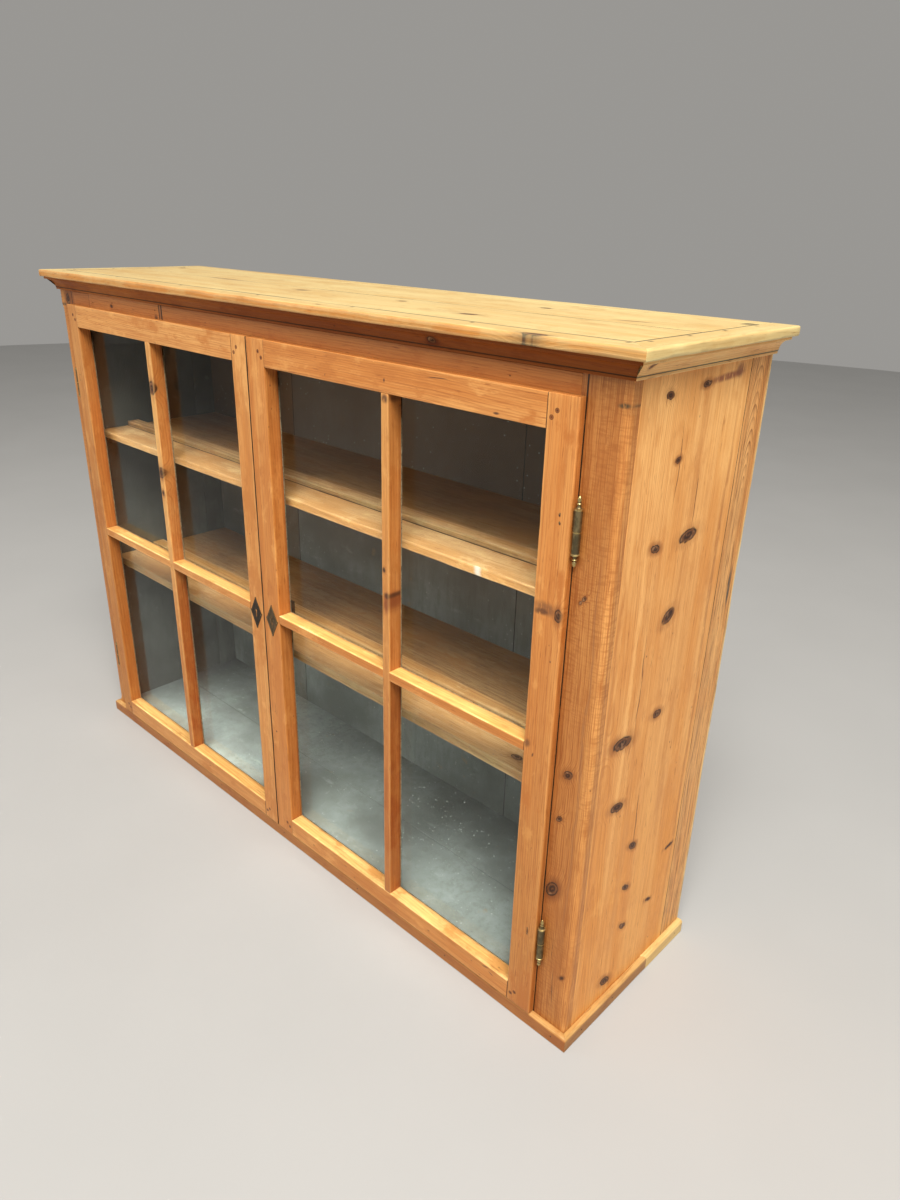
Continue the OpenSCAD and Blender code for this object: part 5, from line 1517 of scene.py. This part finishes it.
def old_iron(name, tint=None):
    """Dark forged iron, brown where rust starts."""
    f = Finish(name)
    x, y, z = f.place()
    tint = tuple(colours().iron) if tint is None else tint
    patch = f.noise(f.point(x * 110.0, y * 110.0, z * 110.0), 1.0, 4.0, 0.65)
    fine = f.noise(f.point(x * 900.0, y * 900.0, z * 900.0), 1.0, 2.0, 0.6)
    rub = f.attribute("edge") * fine.step(0.3, 0.6)
    colour = f.layers(tint,
                      (patch.step(0.4, 0.7), scaled(tint, 1.6, 1.0, 0.7)),
                      (rub * 0.8, scaled(tint, 3.6, 3.0, 2.2)))
    f.shine(Base_Color=colour, Metallic=patch.step(0.35, 0.7, 0.8, 0.3),
            Roughness=fine * 0.25 + 0.48)
    f.bump(patch * 0.7 + fine * 0.3, 0.4, 0.0004)
    return f.material


# Half of a hinge from its middle outwards, as (radius, height, bright), in millimetres
HALF_END = [(5.8, 31.3, 0), (6.0, 32.0, .6), (6.6, 32.4, 1), (6.8, 33.3, 1), (6.6, 34.4, 1),
            (5.6, 34.9, 1), (4.2, 35.4, .2), (3.2, 37.0, 0), (2.7, 39.5, 0), (2.8, 40.2, .3),
            (3.6, 40.8, 1), (3.9, 41.6, 1), (3.6, 42.4, 1), (2.8, 43.0, .3), (2.5, 43.8, 0),
            (2.5, 44.2, 0), (3.0, 44.8, .3), (3.5, 46.0, .8), (3.6, 47.5, 1), (3.3, 49.2, 1),
            (2.6, 50.9, 1), (1.7, 52.3, 1), (0.8, 53.2, 1), (0.2, 53.5, 1)]
UPPER_HALF = [(4.6, 0.86, .3), (5.7, 0.92, .6), (6.0, 1.4, .2), (6.0, 3.0, 0), *HALF_END]
LOWER_HALF = [(5.0, -.74, .4), (6.2, -.70, .8), (6.4, -.3, 1), (6.4, .4, 1), (6.1, .8, .3),
              (6.0, 1.2, 0), *HALF_END]


class CABINET_OT_hinges(bpy.types.Operator):
    """Makes the four pin hinges with their turned ends and let-in leaves"""
    bl_idname = "cabinet.hinges"
    bl_label = "Hinges"

    def execute(self, context):
        y = (DOOR_FACE + CASE_FRONT) / 2
        posts = []
        half = LEAF_T / 2
        for side, x, way in (("left", BOX["left_post"][1].x - HINGE_IN, 1),
                             ("right", BOX["right_post"][0].x + HINGE_IN, -1)):
            uppers = []
            for z in HINGE_ZS:
                for profile, up, shells in ((UPPER_HALF, 1, uppers), (LOWER_HALF, -1, posts)):
                    shape = np.array(profile) * (0.001, 0.001 * up, 1)
                    shells.append(turn(shape, (x, y, z)))
                ends = sorted((x + way * LEAF_START, x + way * (HINGE_OUT + LEAF_DOOR)))
                uppers.append(carry(rectangle(ends[0], y - half, ends[1], y + half),
                                    z + LEAF_INSET, z + KNUCKLE - LEAF_INSET, "z",
                                    arris=0.0004, seed=5, ripple=0.0))
                posts.append(carry(rectangle(x - half, y + LEAF_START, x + half, y + LEAF_POST),
                                   z - KNUCKLE + LEAF_INSET, z - LEAF_INSET, "z",
                                   arris=0.0004, seed=6, ripple=0.0))
            piece(f"{side}_hinge_uppers", uppers, aged_brass(f"{side}_hinge_brass"),
                  f"{side}_door", "old_brass", f"{side}_hinge_halves")
        piece("hinge_lowers", posts, aged_brass("post_hinge_brass"), "case", "old_brass",
              "hinge_post_halves")
        return {"FINISHED"}


# The keyhole: its eye, and the slot that hangs from the eye's middle
EYE_R = 0.003
SLOT_HALF = 0.00165
SLOT_FOOT = 0.015
BOSS_R = 0.0022
PLATE_BEVEL = 0.0004


def diamond_plate(label, eye_x):
    """A pierced plate as a ring about the keyhole: for each angle, the way out of the
    keyhole, which is the farther exit from a circle and a slot, and the way out of the plate,
    which is the nearest side of the diamond or the farther exit from the boss at a point.
    The ring's own middle lies a little below the eye's."""
    low, high = BOX[label]
    half_w, half_h = (high.x - low.x) / 2, (high.z - low.z) / 2
    down = 0.002
    middle_z = KEYHOLE_Z - down
    rise = middle_z - (low.z + high.z) / 2
    corners = [(half_w, 0), (0, -half_h), (-half_w, 0), (0, half_h)]
    tips = [math.atan2(x, z - rise) for x, z in corners]
    angle = np.unique(np.concatenate([np.linspace(-math.pi, math.pi, 240, endpoint=False), tips]))
    dx, dz = np.sin(angle), np.cos(angle)

    def out_of_circle(px, pz, radius):
        along = px * dx + pz * dz
        inside = np.maximum(along ** 2 - px ** 2 - pz ** 2 + radius ** 2, 0)
        return along + np.sqrt(inside), inside > 0

    eye, _ = out_of_circle(0.0, down, EYE_R)
    slot = np.minimum(SLOT_HALF / np.maximum(np.abs(dx), 1e-6),
                      np.where(dz < 0, SLOT_FOOT - down, down) / np.maximum(np.abs(dz), 1e-6))
    hole = np.maximum(eye, slot)
    rim = 1 - abs(rise) / half_h * np.where(dz * rise >= 0, 1, -1)
    rim = rim / (np.abs(dx) / half_w + np.abs(dz) / half_h)
    for x, z in corners:
        scale = 1 - BOSS_R / math.hypot(x, z)
        reach, hit = out_of_circle(x * scale, z * scale - rise, BOSS_R)
        rim = np.where(hit, np.maximum(rim, reach), rim)
    thick = high.y - low.y
    rings = [(hole, 0.0, 0.0), (hole, thick - PLATE_BEVEL, 0.3), (hole + PLATE_BEVEL, thick, 1.0),
             ((hole + rim) / 2, thick, 0.0), (rim - PLATE_BEVEL, thick, 1.0),
             (rim, thick - PLATE_BEVEL, 0.8), (rim, 0.0, 0.0)]
    rows = [np.stack([eye_x + far * dx, np.full(len(angle), high.y - out), middle_z + far * dz],
                     axis=-1) for far, out, _ in rings]
    marks = [np.full(len(angle), mark) for _, _, mark in rings]
    return np.stack(rows, axis=1), np.stack(marks, axis=1)


class CABINET_OT_ironwork(bpy.types.Operator):
    """Makes the diamond plates and finishes the lock, the rod bolts, the nails and the pins"""
    bl_idname = "cabinet.ironwork"
    bl_label = "Plates, lock and bolts"

    def execute(self, context):
        tints = {"left": scaled(colours().iron, 0.4), "right": (0.060, 0.046, 0.026)}
        for side, tint in tints.items():
            label = f"{side}_escutcheon"
            piece(label + "_plate", [diamond_plate(label, keyhole_x(side))],
                  old_iron(label, tint), f"{side}_door", "dark_iron", label, ring=True)
            dress(f"{side}_door_pins", old_iron(f"{side}_door_pins", (0.20, 0.15, 0.07)))
        for node in ("case_nails", "top_bolt_keep", "left_bolt_plates", "lock_case"):
            dress(node, old_iron(node))
        for node in ("lock_keep", "lock_bolt", "left_top_bolt", "left_bottom_bolt"):
            dress(node, aged_brass(node))
        return {"FINISHED"}


# The camera, solved from straight edges: its place, the turns of its axes and its lens
CAMERA_PLACE = (1.41366, -1.15642, 1.37026)
CAMERA_RIGHT = (0.72396, 0.68941, 0.02432)
CAMERA_UP = (-0.29500, 0.27753, 0.91430)
CAMERA_BACK = (0.62358, -0.66909, 0.40430)
CAMERA_LENS_MM = 25.94
CAMERA_SENSOR_MM = 36.0


class CABINET_OT_studio(bpy.types.Operator):
    """Makes the pale floor, the lights and the camera at the photographed angle"""
    bl_idname = "cabinet.studio"
    bl_label = "Studio"

    def execute(self, context):
        scene = context.scene
        studio = scene.cabinet_studio
        scene.view_settings.view_transform = "Standard"
        sides = 64
        a = np.linspace(0, 2 * math.pi, sides, endpoint=False)
        disc = np.stack([np.cos(a), np.sin(a), np.zeros(sides)], axis=1) * studio.floor_size
        below_feet = (0, 0, 0.0005)
        mesh = bpy.data.meshes.new("studio_floor")
        mesh.from_pydata(disc - below_feet, [], [list(range(sides))])
        f = Finish("studio_floor")
        x, y, z = f.place()
        tone = f.noise(f.point(x * 2.0, y * 2.0, z), 1.0, 3.0)
        f.shine(Base_Color=f.mix(tone, (0.41, 0.41, 0.405), (0.45, 0.45, 0.445)), Roughness=0.85)
        mesh.materials.append(f.material)
        floor = bpy.data.objects.new("studio_floor", mesh)
        scene.collection.objects.link(floor)
        world = bpy.data.worlds.new("studio")
        world.use_nodes = True
        sky = world.node_tree.nodes["Background"]
        sky.inputs["Color"].default_value = (1.0, 0.97, 0.92, 1.0)
        sky.inputs["Strength"].default_value = studio.sky
        scene.world = world
        for name, place, power, size, tint in (
                ("key", (2.8, -2.7, 6.2), studio.key, 3.4, (1.0, 0.96, 0.90)),
                ("fill", (-3.0, -3.6, 2.4), studio.fill, 3.0, (1.0, 0.98, 0.94))):
            light = bpy.data.lights.new(name, "AREA")
            light.energy, light.size, light.color = power, size, tint
            lamp = bpy.data.objects.new(name, light)
            scene.collection.objects.link(lamp)
            lamp.matrix_world = facing(place, (0.1, 0.0, 0.7))
        camera = bpy.data.cameras.new("camera")
        camera.lens = CAMERA_LENS_MM
        camera.sensor_width = CAMERA_SENSOR_MM
        camera.clip_end = 60.0
        seat = bpy.data.objects.new("camera", camera)
        scene.collection.objects.link(seat)
        turned = Matrix((CAMERA_RIGHT, CAMERA_UP, CAMERA_BACK)).transposed()
        seat.matrix_world = Matrix.Translation(CAMERA_PLACE) @ turned.to_4x4()
        scene.camera = seat
        return {"FINISHED"}


def facing(place, target):
    """Matrix of a lamp at a place that shines towards a target."""
    way = Vector(target) - Vector(place)
    return Matrix.Translation(place) @ way.to_track_quat("-Z", "Y").to_matrix().to_4x4()


class CABINET_PT_panel(bpy.types.Panel):
    """Lists the steps that make the cabinet, with its colours and sizes"""
    bl_label = "Cabinet"
    bl_idname = "CABINET_PT_panel"
    bl_space_type = "VIEW_3D"
    bl_region_type = "UI"
    bl_category = "Cabinet"

    def draw(self, context):
        for group in (context.scene.cabinet_wear, context.scene.cabinet_colours,
                      context.scene.cabinet_studio):
            for name in group.bl_rna.properties.keys():
                if name not in ("rna_type", "name"):
                    self.layout.prop(group, name)
        for step in OPERATORS:
            self.layout.operator(step.bl_idname)


OPERATORS = (CABINET_OT_case_boards, CABINET_OT_base_strips, CABINET_OT_cove, CABINET_OT_top,
             CABINET_OT_shelves, CABINET_OT_inside_paint, CABINET_OT_door_frames,
             CABINET_OT_panes, CABINET_OT_hinges, CABINET_OT_ironwork, CABINET_OT_studio)
CLASSES = (CabinetWear, CabinetColours, CabinetStudio, *OPERATORS, CABINET_PT_panel)


def register():
    for cls in CLASSES:
        bpy.utils.register_class(cls)
    bpy.types.Scene.cabinet_wear = bpy.props.PointerProperty(type=CabinetWear)
    bpy.types.Scene.cabinet_colours = bpy.props.PointerProperty(type=CabinetColours)
    bpy.types.Scene.cabinet_studio = bpy.props.PointerProperty(type=CabinetStudio)


def unregister():
    del bpy.types.Scene.cabinet_wear
    del bpy.types.Scene.cabinet_colours
    del bpy.types.Scene.cabinet_studio
    for cls in reversed(CLASSES):
        bpy.utils.unregister_class(cls)


def main():
    """Makes the cabinet and its studio."""
    register()
    bpy.ops.cabinet.case_boards()
    bpy.ops.cabinet.base_strips()
    bpy.ops.cabinet.cove()
    bpy.ops.cabinet.top()
    bpy.ops.cabinet.shelves()
    bpy.ops.cabinet.inside_paint()
    bpy.ops.cabinet.door_frames()
    bpy.ops.cabinet.panes()
    bpy.ops.cabinet.hinges()
    bpy.ops.cabinet.ironwork()
    bpy.ops.cabinet.studio()


if __name__ == "__main__":
    main()
